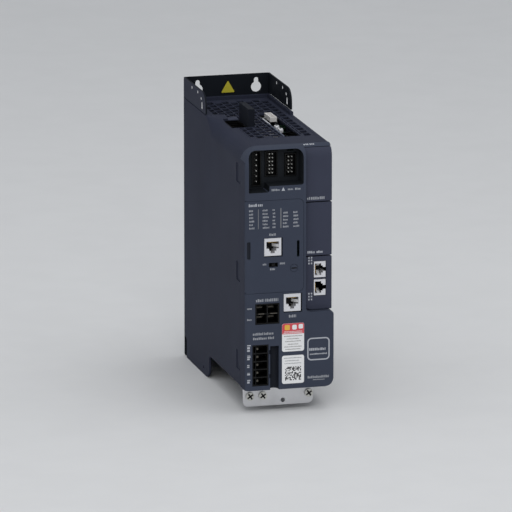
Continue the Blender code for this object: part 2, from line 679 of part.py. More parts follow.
def make_bus_socket(body_look, contact_look):
    """Double two-pole socket for the direct-current link."""
    x = (BUS_SOCKET_X[0] + GAP, BUS_SOCKET_X[1] - GAP)
    z = (BUS_SOCKET_Z[0] + GAP, BUS_SOCKET_Z[1] - GAP)
    body = add_piece("dc_bus_socket", body_look, [box(x, (FASCIA_Y + 0.4, FASCIA_Y + 18.0), z)])
    wide = (x[1] - x[0] - 3 * 1.1) / 2
    high = (z[1] - z[0] - 3 * 1.0) / 2
    cells = []
    for i in range(2):
        for j in range(2):
            low_x = x[0] + 1.1 + i * (wide + 1.1)
            low_z = z[0] + 1.0 + j * (high + 1.0)
            cells.append(((low_x, low_x + wide), (low_z, low_z + high)))
    cut(body, *[box(cx, (FASCIA_Y - 5.0, FASCIA_Y + 15.0), cz) for cx, cz in cells])
    slits = (FASCIA_Y + 14.0, FASCIA_Y + 25.0)
    cut(body, *[box(span(sum(cx) / 2, 6.6), slits, span(sum(cz) / 2, 2.2)) for cx, cz in cells])
    bar = box((x[0] + 2.0, x[1] - 2.0), (FASCIA_Y + 18.4, FASCIA_Y + 20.0), (z[0] + 2.0, z[1] - 2.0))
    contacts = add_piece("dc_bus_contacts", contact_look, [bar])
    fuse(contacts, *[box(span(sum(cx) / 2, 6.0), (FASCIA_Y + 9.0, FASCIA_Y + 19.0), span(sum(cz) / 2, 1.6))
                     for cx, cz in cells])


def make_motor_header(body_look, pin_look):
    """Five-cell motor header with one pin in each cell."""
    x = (MOTOR_X[0] + GAP, MOTOR_X[1] - GAP)
    z = (MOTOR_Z[0] + GAP, MOTOR_Z[1] - GAP)
    body = add_piece("motor_header", body_look, [box(x, (FASCIA_Y + 0.4, FASCIA_Y + 19.0), z)])
    pitch = (z[1] - z[0] - 0.8) / MOTOR_CELLS
    rows = [z[0] + 0.4 + pitch * (i + 0.5) for i in range(MOTOR_CELLS)]
    front = FASCIA_Y - 5.0
    cells = [box((x[0] + 3.4, x[1] - 1.0), (front, FASCIA_Y + 16.0), span(row, pitch - 1.0)) for row in rows]
    cells += [box((x[0] + 0.8, x[0] + 2.7), (front, FASCIA_Y + 12.0), span(row, pitch - 1.6)) for row in rows]
    cut(body, *cells)
    pin_x = x[0] + 5.4
    cut(body, *[box(span(pin_x, 2.6), (FASCIA_Y + 10.0, FASCIA_Y + 25.0), span(row, 2.6)) for row in rows])
    strip = box(span(pin_x, 3.0), (FASCIA_Y + 19.4, FASCIA_Y + 21.0), (rows[0] - 2.0, rows[-1] + 2.0))
    pins = add_piece("motor_pins", pin_look, [strip])
    fuse(pins, *[box(span(pin_x, 1.8), (FASCIA_Y + 3.4, FASCIA_Y + 20.0), span(row, 1.8)) for row in rows])


def column_block(index):
    """Height range of a block in the module column, counted from the foot."""
    foot = COLUMN_FOOT + MODULE_PITCH * index
    return (foot + 0.5, foot + MODULE_PITCH - 0.5)


def make_column(cover_look):
    """Two blank covers and the field bus module's front, stacked in the right-hand column."""
    x = (COLUMN_X + 0.8, HALF_WIDTH)
    y = (COLUMN_Y, SEAM_Y - GAP)
    for name, index in (("bus_module", 0), ("lower_slot_cover", 1), ("upper_slot_cover", 2)):
        z = column_block(index)
        foot_r = 5.0 if index == 0 else 0.6
        outline = rounded(x, z, (foot_r, 0.6, 0.6, 0.6), 2)
        piece = add_piece(name, cover_look, [prism(outline, "y", y)])
        inner = ((x[0] + WALL, x[1] - WALL), (y[0] + WALL, y[1] + 5.0), (z[0] + WALL, z[1] - WALL))
        if index == 2:
            cut(piece, top_waste(COLUMN_Y))
            inner = (inner[0], (y[0] + WALL + 2.0, y[1] + 5.0), (z[0] + WALL, z[1] - WALL - 6.0))
        cut(piece, box(*inner))
        if index == 0:
            cut(piece, *[box(span(BUS_PORT_X, BUS_PORT_SIZE[0] + 0.8), (COLUMN_Y - 5.0, COLUMN_Y + 5.0),
                               span(port_z, BUS_PORT_SIZE[1] + 0.8))
                         for port_z in BUS_PORT_Z])


def slit(centre, length, width, turn):
    """Outline of a narrow slot turned about its centre, in degrees."""
    along = (math.cos(math.radians(turn)), math.sin(math.radians(turn)))
    points = []
    for u, v in ((-1, -1), (1, -1), (1, 1), (-1, 1)):
        reach = u * length / 2.0
        side = v * width / 2.0
        across = centre[0] + reach * along[0] - side * along[1]
        points.append((across, centre[1] + reach * along[1] + side * along[0]))
    return points


def make_ground_plate(plate_look, screw_look):
    """Earthing plate under the fascia, held by three cross-recess screws."""
    y = (-223.0, -221.4)
    outline = rounded((-HALF_WIDTH, 25.2), (-17.5, -0.4), (5, 5, 0, 0), 4)
    piece = add_piece("ground_plate", plate_look, [prism(outline, "y", y)])
    screws = (-35.9, -23.5, 20.9)
    shafts = [prism(circle((x, -7.4), 1.7, 12), "y", (-240.0, -200.0)) for x in screws]
    cut(piece, prism(circle((-4.0, -13.0), 2.1, 12), "y", (-240.0, -200.0)), *shafts)
    foot = box((-30.0, 18.0), (-221.7, -214.5), (-1.9, -0.4))
    fuse(piece, foot)
    for number, x in enumerate(screws, 1):
        head = prism(circle((x, -7.4), 4.0, 20), "y", (y[0] - 1.9, y[0] - GAP))
        screw = add_piece(f"ground_screw_{number}", screw_look, [head], smooth=True)
        fuse(screw, prism(circle((x, -7.4), 1.3, 10), "y", (y[0] - 1.0, y[1] + 2.0)))
        slots = (y[0] - 5.0, y[0] - 1.0)
        for turn in (35.0, 125.0):
            cut(screw, prism(slit((x, -7.4), 6.2, 1.5, turn), "y", slots))


# Electronics inside.


def make_boards(board_look):
    """Power board along the right wall, control board behind the front cover."""
    power = add_piece("power_board", board_look, [box(BOARD_X, (-198.0, -60.0), (14.0, 218.0))])
    feet = [(y, z) for y in (-192.0, -66.0) for z in (20.0, 212.0)]
    reach = (BOARD_X[1] - 0.5, HALF_WIDTH - WALL - GAP)
    fuse(power, *[prism(circle(foot, 3.0, 6), "x", reach) for foot in feet])
    outline = [(-38.0, 50.0), (24.0, 50.0), (24.0, 225.0), (-29.0, 225.0), (-38.0, 214.0)]
    control = add_piece("control_board", board_look, [prism(outline, "y", CONTROL_Y)])
    posts = [(x, z) for x in (-34.0, 20.0) for z in (56.0, 186.0)]
    fuse(control, *[prism(circle(post, 2.5, 6), "y", (-211.6, CONTROL_Y[0] + 0.5)) for post in posts])
    card_x = (BOARD_X[1] + 7.0, BOARD_X[1] + 8.6)
    add_piece("bus_module_board", board_look, [box(card_x, (-209.0, -120.0), (76.0, 122.0))])


def make_power_parts(module_look, can_look, coil_look, core_look, relay_look):
    """Power module on the heatsink; capacitors, choke, transformer and relay on the power board."""
    add_piece("power_module", module_look, [box((-30.0, 24.0), (-58.0, SINK_FRONT - GAP), (70.0, 170.0))])
    for number in range(3):
        outline = circle((-82.0, 44.0 + 34.0 * number), 15.0, 20)
        add_piece(f"bus_capacitor_{number + 1}", can_look, [prism(outline, "x", (-24.0, BOARD_X[0] - GAP))],
                  smooth=True)
    ring = prism(circle((-150.0, 60.0), 20.0, 20), "x", (4.0, BOARD_X[0] - GAP))
    choke = add_piece("mains_choke", coil_look, [ring], smooth=True)
    cut(choke, prism(circle((-150.0, 60.0), 8.0, 16), "x", (0.0, 30.0)))
    add_piece("aux_transformer", core_look, [box((0.0, BOARD_X[0] - GAP), (-172.0, -140.0), (100.0, 128.0))])
    add_piece("inrush_relay", relay_look, [box((6.0, BOARD_X[0] - GAP), (-132.0, -104.0), (150.0, 166.0))])


def make_insulator(look):
    """Sheet between the electronics and the left wall."""
    add_piece("insulating_sheet", look, [box((-40.2, -39.6), (-196.0, -50.0), (10.0, 205.0))])


def clear_scene():
    for item in list(bpy.data.objects):
        bpy.data.objects.remove(item, do_unlink=True)


def main():
    clear_scene()
    steel = material("painted_steel", (50, 53, 66), 0.55, 0.2)
    dark_steel = material("dark_steel", (22, 25, 30), 0.55, 0.2)
    shell = material("housing_plastic", (52, 56, 68), 0.5)
    fascia = material("fascia_plastic", (58, 62, 74), 0.5)
    column = material("column_plastic", (57, 59, 72), 0.5)
    black = material("black_plastic", (16, 16, 16), 0.45)
    dark = material("header_plastic", (24, 24, 26), 0.5)
    white = material("white_plastic", (205, 203, 200), 0.45)
    port = material("port_shell", (211, 211, 214), 0.3, 0.9)
    tin = material("tin_pins", (200, 200, 196), 0.3, 1.0)
    plate = material("ground_steel", (166, 166, 168), 0.35, 1.0)
    aluminium = material("heatsink_aluminium", (190, 192, 195), 0.4, 1.0)
    board = material("circuit_board", (20, 80, 50), 0.5)
    can = material("capacitor_can", (20, 22, 40), 0.35)
    copper = material("choke_winding", (150, 80, 40), 0.35, 0.8)
    core = material("ferrite_core", (45, 45, 45), 0.6)
    relay = material("relay_case", (40, 70, 130), 0.4)
    sheet = material("insulating_film", (225, 225, 215), 0.5)
    make_rear_bracket(dark_steel)
    make_heatsink(aluminium)
    make_fans(black, black)
    make_housing(steel)
    make_top_grille(shell)
    make_bottom_grille(shell)
    make_mains_inlet(black, tin, shell)
    make_window_connectors(white, plate, black, tin)
    make_front_cover(fascia)
    make_lid(fascia)
    make_lock(fascia)
    make_switch(black, dark)
    make_port("panel_port", port, tin, *PANEL_PORT, FASCIA_Y + PORT_SETBACK, 0)
    make_port("encoder_port", port, tin, *ENCODER_PORT, FASCIA_Y + PORT_SETBACK, 0)
    for number, z in enumerate(BUS_PORT_Z, 1):
        make_port(f"bus_port_{number}", port, tin, BUS_PORT_X, z, COLUMN_Y + PORT_SETBACK, 90)
    header("relay_header", dark, tin, RELAY_X, RELAY_Z, 1, 6, 5.08)
    header("wide_header", dark, tin, WIDE_HEADER_X, WIDE_HEADER_Z, 2, 6, 3.6, 2.9)
    header("small_header", dark, tin, SMALL_HEADER_X, SMALL_HEADER_Z, 2, 5, 3.6, 3.2)
    make_bus_socket(black, tin)
    make_motor_header(dark, tin)
    make_column(column)
    make_ground_plate(plate, tin)
    make_boards(board)
    make_power_parts(dark, can, copper, core, relay)
    make_insulator(sheet)


main()
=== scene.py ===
"""Looks of a slim wall-mounted servo drive: finished shells, ports, prints, grilles and a plain stage.

Sizes in the functions are millimetres; MM turns them into the frame's metres.
"""
import json
import math
import random

import bmesh
import bpy
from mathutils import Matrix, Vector

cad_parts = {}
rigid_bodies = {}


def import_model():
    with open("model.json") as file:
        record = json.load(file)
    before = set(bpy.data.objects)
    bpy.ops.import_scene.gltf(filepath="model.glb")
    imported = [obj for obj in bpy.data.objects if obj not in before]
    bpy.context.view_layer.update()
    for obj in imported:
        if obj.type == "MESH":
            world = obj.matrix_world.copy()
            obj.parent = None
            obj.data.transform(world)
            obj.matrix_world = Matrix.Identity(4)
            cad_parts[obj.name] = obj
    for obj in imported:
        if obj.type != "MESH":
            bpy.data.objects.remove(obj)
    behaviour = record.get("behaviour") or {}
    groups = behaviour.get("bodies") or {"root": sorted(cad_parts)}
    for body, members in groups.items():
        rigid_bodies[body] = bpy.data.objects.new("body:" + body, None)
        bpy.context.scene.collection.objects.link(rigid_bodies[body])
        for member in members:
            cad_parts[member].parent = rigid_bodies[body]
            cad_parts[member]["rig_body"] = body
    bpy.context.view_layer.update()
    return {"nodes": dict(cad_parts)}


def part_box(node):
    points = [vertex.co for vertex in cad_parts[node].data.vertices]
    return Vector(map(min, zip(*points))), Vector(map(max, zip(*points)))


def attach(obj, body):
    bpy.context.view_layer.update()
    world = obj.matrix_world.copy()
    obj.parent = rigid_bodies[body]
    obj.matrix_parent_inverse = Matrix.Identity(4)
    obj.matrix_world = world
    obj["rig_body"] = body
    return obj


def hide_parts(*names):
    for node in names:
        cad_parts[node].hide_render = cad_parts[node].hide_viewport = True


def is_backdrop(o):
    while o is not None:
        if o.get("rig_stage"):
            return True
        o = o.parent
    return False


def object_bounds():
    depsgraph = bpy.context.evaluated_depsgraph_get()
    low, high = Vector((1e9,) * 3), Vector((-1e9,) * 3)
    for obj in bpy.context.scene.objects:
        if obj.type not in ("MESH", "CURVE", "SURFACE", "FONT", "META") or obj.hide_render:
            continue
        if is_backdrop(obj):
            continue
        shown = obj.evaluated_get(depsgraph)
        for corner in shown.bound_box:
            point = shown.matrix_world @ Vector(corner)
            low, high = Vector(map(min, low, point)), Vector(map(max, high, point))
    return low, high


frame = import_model()

bl_info = {
    "name": "Servo Drive Looks",
    "version": (1, 0, 0),
    "blender": (4, 5, 0),
    "location": "View3D > Sidebar > Drive",
    "description": "Builds the finishes, prints and fine parts of a wall-mounted servo drive",
    "category": "Object",
}

MM = 0.001
NODES = frame["nodes"]


def corners(node):
    """Lowest and highest corner of a CAD node at rest, in millimetres."""
    low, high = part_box(node)
    return low / MM, high / MM


FASCIA_Y = corners("front_cover")[0].y
COLUMN_Y = corners("lower_slot_cover")[0].y
HALF_WIDTH = corners("housing")[1].x
WING_EDGE = (-23.7, -82.7)
TOP_RADIUS = 11.0
TOP_HEIGHT = corners("front_cover")[1].z
STRAP_TURN = 74.0
FLAT = math.radians(1.0)
CREASE = math.radians(32)
SMALL_FACE = 3.0 * MM ** 2
FLOOR_REACH = 9000.0
AIM = Vector((0.0, -0.12, 0.12))
PORT_RIM = 0.5
PART_GAP = 0.5
BOARD_PARTS = (
    (11.0, 11.0, 1.4, 0, 2), (13.0, 4.4, 2.2, 3, 1), (7.0, 5.0, 1.5, 0, 5), (4.0, 2.6, 1.1, 0, 9),
    (3.2, 1.6, 0.8, 1, 22), (1.8, 1.0, 0.5, 2, 46),
)


def linear(red, green, blue):
    """Linear colour from the 0-255 values seen on a screen."""
    return tuple((value / 255.0) ** 2.2 for value in (red, green, blue))


def colour_property(name, description, rgb):
    """Colour setting with its default given as screen values."""
    return bpy.props.FloatVectorProperty(
        name=name, description=description, subtype="COLOR", size=3, min=0.0, max=1.0, default=linear(*rgb)
    )


def length_property(name, description, millimetres):
    """Length setting with its default given in millimetres."""
    return bpy.props.FloatProperty(
        name=name, description=description, unit="LENGTH", subtype="DISTANCE", min=0.0, default=millimetres * MM
    )


class DriveColours(bpy.types.PropertyGroup):
    """Colours of the drive's finishes."""

    housing: colour_property("Housing", "Powder coat of the sleeve and the ears", (52, 55, 68))
    # Rear plate colour: the inward faces of the one coated sheet, darkened as painted shade.
    bracket: colour_property("Rear plate", "Dark coat of the wall plate", (32, 35, 40))
    fascia: colour_property("Fascia", "Moulded front cover and input/output cover", (66, 71, 84))
    column: colour_property("Column", "Moulded option covers and bus module", (65, 68, 82))
    recess: colour_property("Dark plastic", "Headers and the floor of the connector recess", (36, 39, 43))
    black: colour_property("Black plastic", "Power sockets, fans and switch", (14, 14, 15))
    ink: colour_property("Ink", "Pale print on the fascia", (176, 179, 186))
    paper: colour_property("Label", "White label stock", (238, 238, 238))
    band: colour_property("Label band", "Coloured head of the upper label", (214, 74, 84))
    sticker: colour_property("Sticker", "Yellow sticker on the wall plate", (196, 184, 52))
    steel: colour_property("Bare steel", "Grounding plate and clips", (205, 205, 207))


class DriveSizes(bpy.types.PropertyGroup):
    """Sizes of the fine work."""

    edge: length_property("Edge rounding", "Radius on the edges of moulded and folded pieces", 0.5)
    fine_edge: length_property("Fine rounding", "Radius on the edges of small pieces", 0.18)
    ink_lift: length_property("Ink thickness", "Height of the print above the surface", 0.05)
    label_lift: length_property("Label thickness", "Height of a label above the surface", 0.1)
    slot_pitch: length_property("Grille pitch", "Distance between rows of grille slots across the top", 7.6)
    slot_width: length_property("Slot width", "Width of one grille slot", 6.5)
    slot_step: length_property("Slot step", "Distance between slots along the top", 12.6)
    slot_length: length_property("Slot length", "Length of one grille slot", 10.4)


class DriveStage(bpy.types.PropertyGroup):
    """Camera and lights."""

    lens: bpy.props.FloatProperty(
        name="Lens", description="Focal length of the camera", unit="CAMERA", min=1.0, default=421.875
    )
    camera_place: bpy.props.FloatVectorProperty(
        name="Camera", description="Where the camera stands", subtype="XYZ", size=3,
        default=(-1.4208, -5.4642, 1.4207)
    )
    camera_target: bpy.props.FloatVectorProperty(
        name="Target", description="Point the camera looks at", subtype="XYZ", size=3,
        default=(-0.00163, -0.11625, 0.10059)
    )
    sky: bpy.props.FloatProperty(
        name="Sky", description="Strength of the even light", min=0.0, default=0.6
    )
    key: bpy.props.FloatProperty(
        name="Key", description="Power of the main soft box", unit="POWER", min=0.0, default=20.0
    )
    top: bpy.props.FloatProperty(
        name="Top", description="Power of the soft box above", unit="POWER", min=0.0, default=7.0
    )
    floor: colour_property("Floor", "Pale floor and backdrop", (226, 226, 226))


# Materials.


def node_setup(name):
    """Empty node material and its Principled shader."""
    made = bpy.data.materials.new(name)
    made.use_nodes = True
    nodes = made.node_tree.nodes
    return made, nodes, made.node_tree.links, nodes["Principled BSDF"]


def noise_node(nodes, links, scale, detail=3.0, stretch=None):
    """Noise in the piece's own coordinates, stretched where the finish has a direction."""
    place = nodes.new("ShaderNodeTexCoord")
    mapping = nodes.new("ShaderNodeMapping")
    if stretch:
        mapping.inputs["Scale"].default_value = stretch
    noise = nodes.new("ShaderNodeTexNoise")
    noise.inputs["Scale"].default_value = scale
    noise.inputs["Detail"].default_value = detail
    links.new(place.outputs["Object"], mapping.inputs["Vector"])
    links.new(mapping.outputs["Vector"], noise.inputs["Vector"])
    return noise


def ramp_between(nodes, links, source, low, high):
    """Colour ramp from one colour to another, driven by a noise."""
    ramp = nodes.new("ShaderNodeValToRGB")
    ramp.color_ramp.elements[0].position = 0.35
    ramp.color_ramp.elements[1].position = 0.65
    ramp.color_ramp.elements[0].color = (*low, 1.0)
    ramp.color_ramp.elements[1].color = (*high, 1.0)
    links.new(source, ramp.inputs["Fac"])
    return ramp


def range_of(nodes, links, source, low, high):
    """Noise value mapped to a range, for a roughness."""
    spread = nodes.new("ShaderNodeMapRange")
    spread.inputs["To Min"].default_value = low
    spread.inputs["To Max"].default_value = high
    links.new(source, spread.inputs["Value"])
    return spread.outputs["Result"]


def scaled(colour, factor):
    """Colour made lighter or darker."""
    return tuple(min(1.0, channel * factor) for channel in colour)


def coated(name, colour, roughness, grain, relief, mottle, metallic=0.0, stretch=None, broad=22.0,
           specular=0.5):
    """Finish with broad colour drift, a fine grain in its relief and an uneven sheen."""
    made, nodes, links, shader = node_setup(name)
    drift = noise_node(nodes, links, broad, 4.0)
    darker, lighter = scaled(colour, 1 - mottle), scaled(colour, 1 + mottle)
    ramp = ramp_between(nodes, links, drift.outputs["Fac"], darker, lighter)
    links.new(ramp.outputs["Color"], shader.inputs["Base Color"])
    fine = noise_node(nodes, links, grain, 2.0, stretch)
    links.new(range_of(nodes, links, fine.outputs["Fac"], roughness - 0.08, roughness + 0.1),
              shader.inputs["Roughness"])
    bump = nodes.new("ShaderNodeBump")
    bump.inputs["Strength"].default_value = relief
    bump.inputs["Distance"].default_value = 0.0002
    links.new(fine.outputs["Fac"], bump.inputs["Height"])
    links.new(bump.outputs["Normal"], shader.inputs["Normal"])
    shader.inputs["Metallic"].default_value = metallic
    shader.inputs["Specular IOR Level"].default_value = specular
    return made


def brushed(name, colour, direction, roughness=0.34):
    """Bare metal with fine brush lines along one direction."""
    stretch = {"x": (0.03, 1.0, 1.0), "y": (1.0, 0.03, 1.0), "z": (1.0, 1.0, 0.03)}[direction]
    return coated(name, colour, roughness, 1800.0, 0.12, 0.05, 1.0, stretch, 60.0)


def board_finish(name):
    """Green solder mask with faint copper tracks under it; the green is darkened as painted shade for boards
    seen down the top window.
    """
    made, nodes, links, shader = node_setup(name)
    tracks = nodes.new("ShaderNodeTexBrick")
    tracks.inputs["Scale"].default_value = 260.0
    tracks.inputs["Mortar Size"].default_value = 0.06
    tracks.inputs["Color1"].default_value = (*linear(9, 40, 28), 1.0)
    tracks.inputs["Color2"].default_value = (*linear(11, 46, 31), 1.0)
    tracks.inputs["Mortar"].default_value = (*linear(22, 66, 44), 1.0)
    place = nodes.new("ShaderNodeTexCoord")
    links.new(place.outputs["Object"], tracks.inputs["Vector"])
    links.new(tracks.outputs["Color"], shader.inputs["Base Color"])
    drift = noise_node(nodes, links, 90.0)
    links.new(range_of(nodes, links, drift.outputs["Fac"], 0.32, 0.5), shader.inputs["Roughness"])
    bump = nodes.new("ShaderNodeBump")
    bump.inputs["Strength"].default_value = 0.2
    bump.inputs["Distance"].default_value = 0.0001
    links.new(tracks.outputs["Fac"], bump.inputs["Height"])
    links.new(bump.outputs["Normal"], shader.inputs["Normal"])
    return made


FINISHES = {}


def make_finishes(colours):
    """Every finish of the drive, by name."""
    FINISHES.update(
        housing=coated("powder_coat", colours.housing, 0.6, 1500.0, 0.09, 0.05, specular=0.06),
        # bracket: dark colour on the plate's inward faces, painted shade.
        bracket=coated("plate_painted_shade", colours.bracket, 0.65, 1500.0, 0.09, 0.1, specular=0.06),
        fascia=coated("fascia_grain", colours.fascia, 0.58, 2200.0, 0.12, 0.04, specular=0.05),
        column=coated("column_grain", colours.column, 0.58, 2200.0, 0.12, 0.04, specular=0.07),
        # rail: lighter copy of the fascia, a painted highlight on the window's rim.
        rail=coated("rim_painted_highlight", scaled(colours.fascia, 1.9), 0.5, 1500.0, 0.05, 0.05, specular=0.3),
        # channel: darker copy of the fascia on sunk faces, painted shade in the plug channel and the finger
        # grip.
        channel=coated("fascia_painted_shade", scaled(colours.fascia, 0.3), 0.6, 2200.0, 0.1, 0.06, specular=0.15),
        block=coated("block_plastic", scaled(colours.fascia, 0.25), 0.6, 2200.0, 0.1, 0.06, specular=0.06),
        recess=coated("recess_plastic", colours.recess, 0.65, 2200.0, 0.1, 0.08, specular=0.15),
        black=coated("black_plastic", colours.black, 0.5, 1800.0, 0.08, 0.15, specular=0.25),
        deep=coated("deep_black", scaled(colours.black, 0.45), 0.7, 1800.0, 0.08, 0.15, specular=0.05),
        ink=coated("pale_ink", colours.ink, 0.6, 3000.0, 0.02, 0.05),
        thin_ink=coated("thin_ink", scaled(colours.ink, 0.72), 0.6, 3000.0, 0.02, 0.05),
        soft_ink=coated("faint_ink", scaled(colours.ink, 0.42), 0.6, 3000.0, 0.02, 0.05),
        paper=coated("label_stock", colours.paper, 0.45, 900.0, 0.03, 0.015),
        band=coated("label_band", colours.band, 0.45, 900.0, 0.03, 0.03),
        label_ink=coated("label_ink", linear(120, 116, 112), 0.6, 3000.0, 0.02, 0.05),
        code=coated("code_ink", linear(46, 46, 48), 0.6, 3000.0, 0.02, 0.1),
        amber=coated("amber_patch", linear(238, 186, 70), 0.5, 900.0, 0.03, 0.03),
        sticker=coated("sticker_film", colours.sticker, 0.45, 900.0, 0.03, 0.08),
        steel=brushed("brushed_steel", colours.steel, "x"),
        plated=coated("plated_shell", linear(226, 226, 230), 0.3, 900.0, 0.03, 0.03, 0.35),
        tin=coated("tin_pins", linear(196, 196, 190), 0.38, 1200.0, 0.05, 0.06, 0.7),
        dull=coated("dull_contacts", linear(104, 100, 92), 0.5, 1200.0, 0.05, 0.1, 0.6),
        # bare_edge: bright bare metal; on the ears' hole walls it is also a painted highlight.
        bare_edge=coated("bare_edge", linear(235, 235, 236), 0.35, 900.0, 0.03, 0.03, 0.2),
        gold=coated("gold_contacts", linear(206, 168, 92), 0.32, 1200.0, 0.04, 0.05, 1.0),
        white=coated("ivory_plastic", linear(214, 211, 208), 0.45, 1200.0, 0.04, 0.02),
        aluminium=brushed("extruded_aluminium", linear(190, 192, 195), "z", 0.4),
        # Boards: solder mask green darkened as painted shade.
        board=board_finish("solder_mask_and_shade"),
        sleeve=coated("shrink_sleeve", linear(24, 28, 52), 0.3, 500.0, 0.04, 0.08),
        copper=coated("enamelled_wire", linear(168, 88, 46), 0.32, 500.0, 0.06, 0.1, 0.8),
        ferrite=coated("ferrite", linear(48, 48, 50), 0.7, 1500.0, 0.15, 0.08),
        relay=coated("relay_case", linear(46, 78, 138), 0.35, 700.0, 0.03, 0.05),
        film=coated("insulating_film", linear(222, 222, 212), 0.4, 300.0, 0.05, 0.03),
    )


# Meshes.


def as_object(name, shape, *finishes):
    """Object from a bmesh, with its finishes in order."""
    bmesh.ops.recalc_face_normals(shape, faces=shape.faces)
    mesh = bpy.data.meshes.new(name)
    shape.to_mesh(mesh)
    shape.free()
    made = bpy.data.objects.new(name, mesh)
    for finish in finishes:
        mesh.materials.append(FINISHES[finish])
    bpy.context.scene.collection.objects.link(made)
    return made


def add_box(shape, x, y, z, finish=0):
    """Closed box in millimetres between three pairs of coordinates."""
    verts = [shape.verts.new((a * MM, b * MM, c * MM)) for a in x for b in y for c in z]
    for face in ((0, 1, 3, 2), (4, 6, 7, 5), (0, 4, 5, 1), (2, 3, 7, 6), (0, 2, 6, 4), (1, 5, 7, 3)):
        shape.faces.new([verts[i] for i in face]).material_index = finish


def add_prism(shape, outline, axis, low, high, finish=0):
    """Closed solid from an outline in millimetres, pushed along one axis."""
    place = {
        "x": lambda u, v, w: (w, u, v),
        "y": lambda u, v, w: (u, w, v),
        "z": lambda u, v, w: (u, v, w),
    }[axis]
    rings = []
    for level in (low, high):
        rings.append([shape.verts.new([c * MM for c in place(u, v, level)]) for u, v in outline])
    shape.faces.new(rings[0]).material_index = finish
    shape.faces.new(list(reversed(rings[1]))).material_index = finish
    count = len(outline)
    for i in range(count):
        j = (i + 1) % count
        face = shape.faces.new((rings[0][i], rings[0][j], rings[1][j], rings[1][i]))
        face.material_index = finish


def span(centre, size):
    """Pair of coordinates either side of a centre."""
    return (centre - size / 2.0, centre + size / 2.0)


def arc(centre, radius, start, end, steps):
    """Points along an arc, in degrees, both ends included."""
    turns = [math.radians(start + (end - start) * i / steps) for i in range(steps + 1)]
    return [(centre[0] + radius * math.cos(t), centre[1] + radius * math.sin(t)) for t in turns]


def rounded(u, v, radius, steps=5):
    """Rectangle outline with equal corner radii."""
    centres = [(u[0] + radius, v[0] + radius), (u[1] - radius, v[0] + radius),
               (u[1] - radius, v[1] - radius), (u[0] + radius, v[1] - radius)]
    points = []
    for i, centre in enumerate(centres):
        points += arc(centre, radius, 180 + 90 * i, 270 + 90 * i, steps)
    return points


def settle(piece, body, edge=0.0, nodes=()):
    """Rounds a piece's edges, hangs it on its body and hides the CAD nodes it stands for."""
    if edge:
        rounding = piece.modifiers.new("Edge rounding", "BEVEL")
        rounding.width = edge
        rounding.segments = 2
        rounding.limit_method = "ANGLE"
        rounding.angle_limit = math.radians(35)
        rounding.use_clamp_overlap = True
        rounding.harden_normals = True
    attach(piece, body)
    if nodes:
        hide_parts(*nodes)
    return piece


def body_of(node):
    """Name of the body that a CAD node rides on."""
    return NODES[node]["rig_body"]


def smooth_curves(shape):
    """Smooth shading over curved faces, sharp lines at the corners."""
    for face in shape.faces:
        face.smooth = True
    for line in shape.edges:
        line.smooth = len(line.link_faces) == 2 and line.calc_face_angle() < CREASE


def refine(node, finishes, edge, choose=None):
    """Clean copy of a CAD node with rounded edges; choose picks the finish of each face."""
    shape = bmesh.new()
    shape.from_mesh(NODES[node].data)
    bmesh.ops.remove_doubles(shape, verts=shape.verts, dist=0.000002)
    bmesh.ops.dissolve_limit(shape, angle_limit=FLAT, verts=shape.verts, edges=shape.edges)
    for face in shape.faces:
        face.material_index = choose(face) if choose else 0
    smooth_curves(shape)
    piece = as_object(node + "_finish", shape, *finishes)
    stored = piece.data.attributes.get("custom_normal")
    if stored:
        piece.data.attributes.remove(stored)
    return settle(piece, body_of(node), edge, (node,))


def slab(name, xs, ys, filled, z, finish):
    """Closed plate of the cells that are filled, between two heights."""
    shape = bmesh.new()
    grid = {}

    def corner(i, j, k):
        if (i, j, k) not in grid:
            grid[(i, j, k)] = shape.verts.new((xs[i] * MM, ys[j] * MM, z[k] * MM))
        return grid[(i, j, k)]

    cells = {(i, j) for i in range(len(xs) - 1) for j in range(len(ys) - 1)
             if filled((xs[i] + xs[i + 1]) / 2, (ys[j] + ys[j + 1]) / 2)}
    for i, j in cells:
        for k in (0, 1):
            around = ((i, j), (i + 1, j), (i + 1, j + 1), (i, j + 1))
            shape.faces.new([corner(a, b, k) for a, b in around])
        sides = (((i - 1, j), (i, j), (i, j + 1)), ((i + 1, j), (i + 1, j), (i + 1, j + 1)),
                 ((i, j - 1), (i, j), (i + 1, j)), ((i, j + 1), (i, j + 1), (i + 1, j + 1)))
        for beyond, a, b in sides:
            if beyond not in cells:
                shape.faces.new([corner(*a, 0), corner(*b, 0), corner(*b, 1), corner(*a, 1)])
    bmesh.ops.dissolve_limit(shape, angle_limit=FLAT, verts=shape.verts, edges=shape.edges)
    return as_object(name, shape, finish)


# Print: plain strokes that stand for lines of text.


def word(x, z, rng):
    """Blocks of uneven width and height that fill a word's box."""
    height = z[1] - z[0]
    blocks = []
    along = x[0]
    while along < x[1] - 0.25:
        width = min(rng.uniform(0.32, 0.62) * max(height, 1.2), x[1] - along)
        top = z[1] if rng.random() < 0.6 else z[1] - 0.22 * height
        blocks.append((along, along + width, z[0], top))
        along += width + rng.uniform(0.14, 0.24) * max(height, 1.2)
    return blocks


def print_marks(name, blocks, y, body, finish="ink"):
    """Raised ink on a face that looks forwards."""
    lift = bpy.context.scene.drive_sizes.ink_lift / MM
    shape = bmesh.new()
    for x0, x1, z0, z1 in blocks:
        add_box(shape, (x0, x1), (y - lift, y + lift), (z0, z1))
    return settle(as_object(name, shape, finish), body)


def words(boxes, seed):
    """Words for a list of (x0, x1, z0, z1) boxes."""
    rng = random.Random(seed)
    blocks = []
    for x0, x1, z0, z1 in boxes:
        blocks += word((x0, x1), (z0, z1), rng)
    return blocks


# Stage.


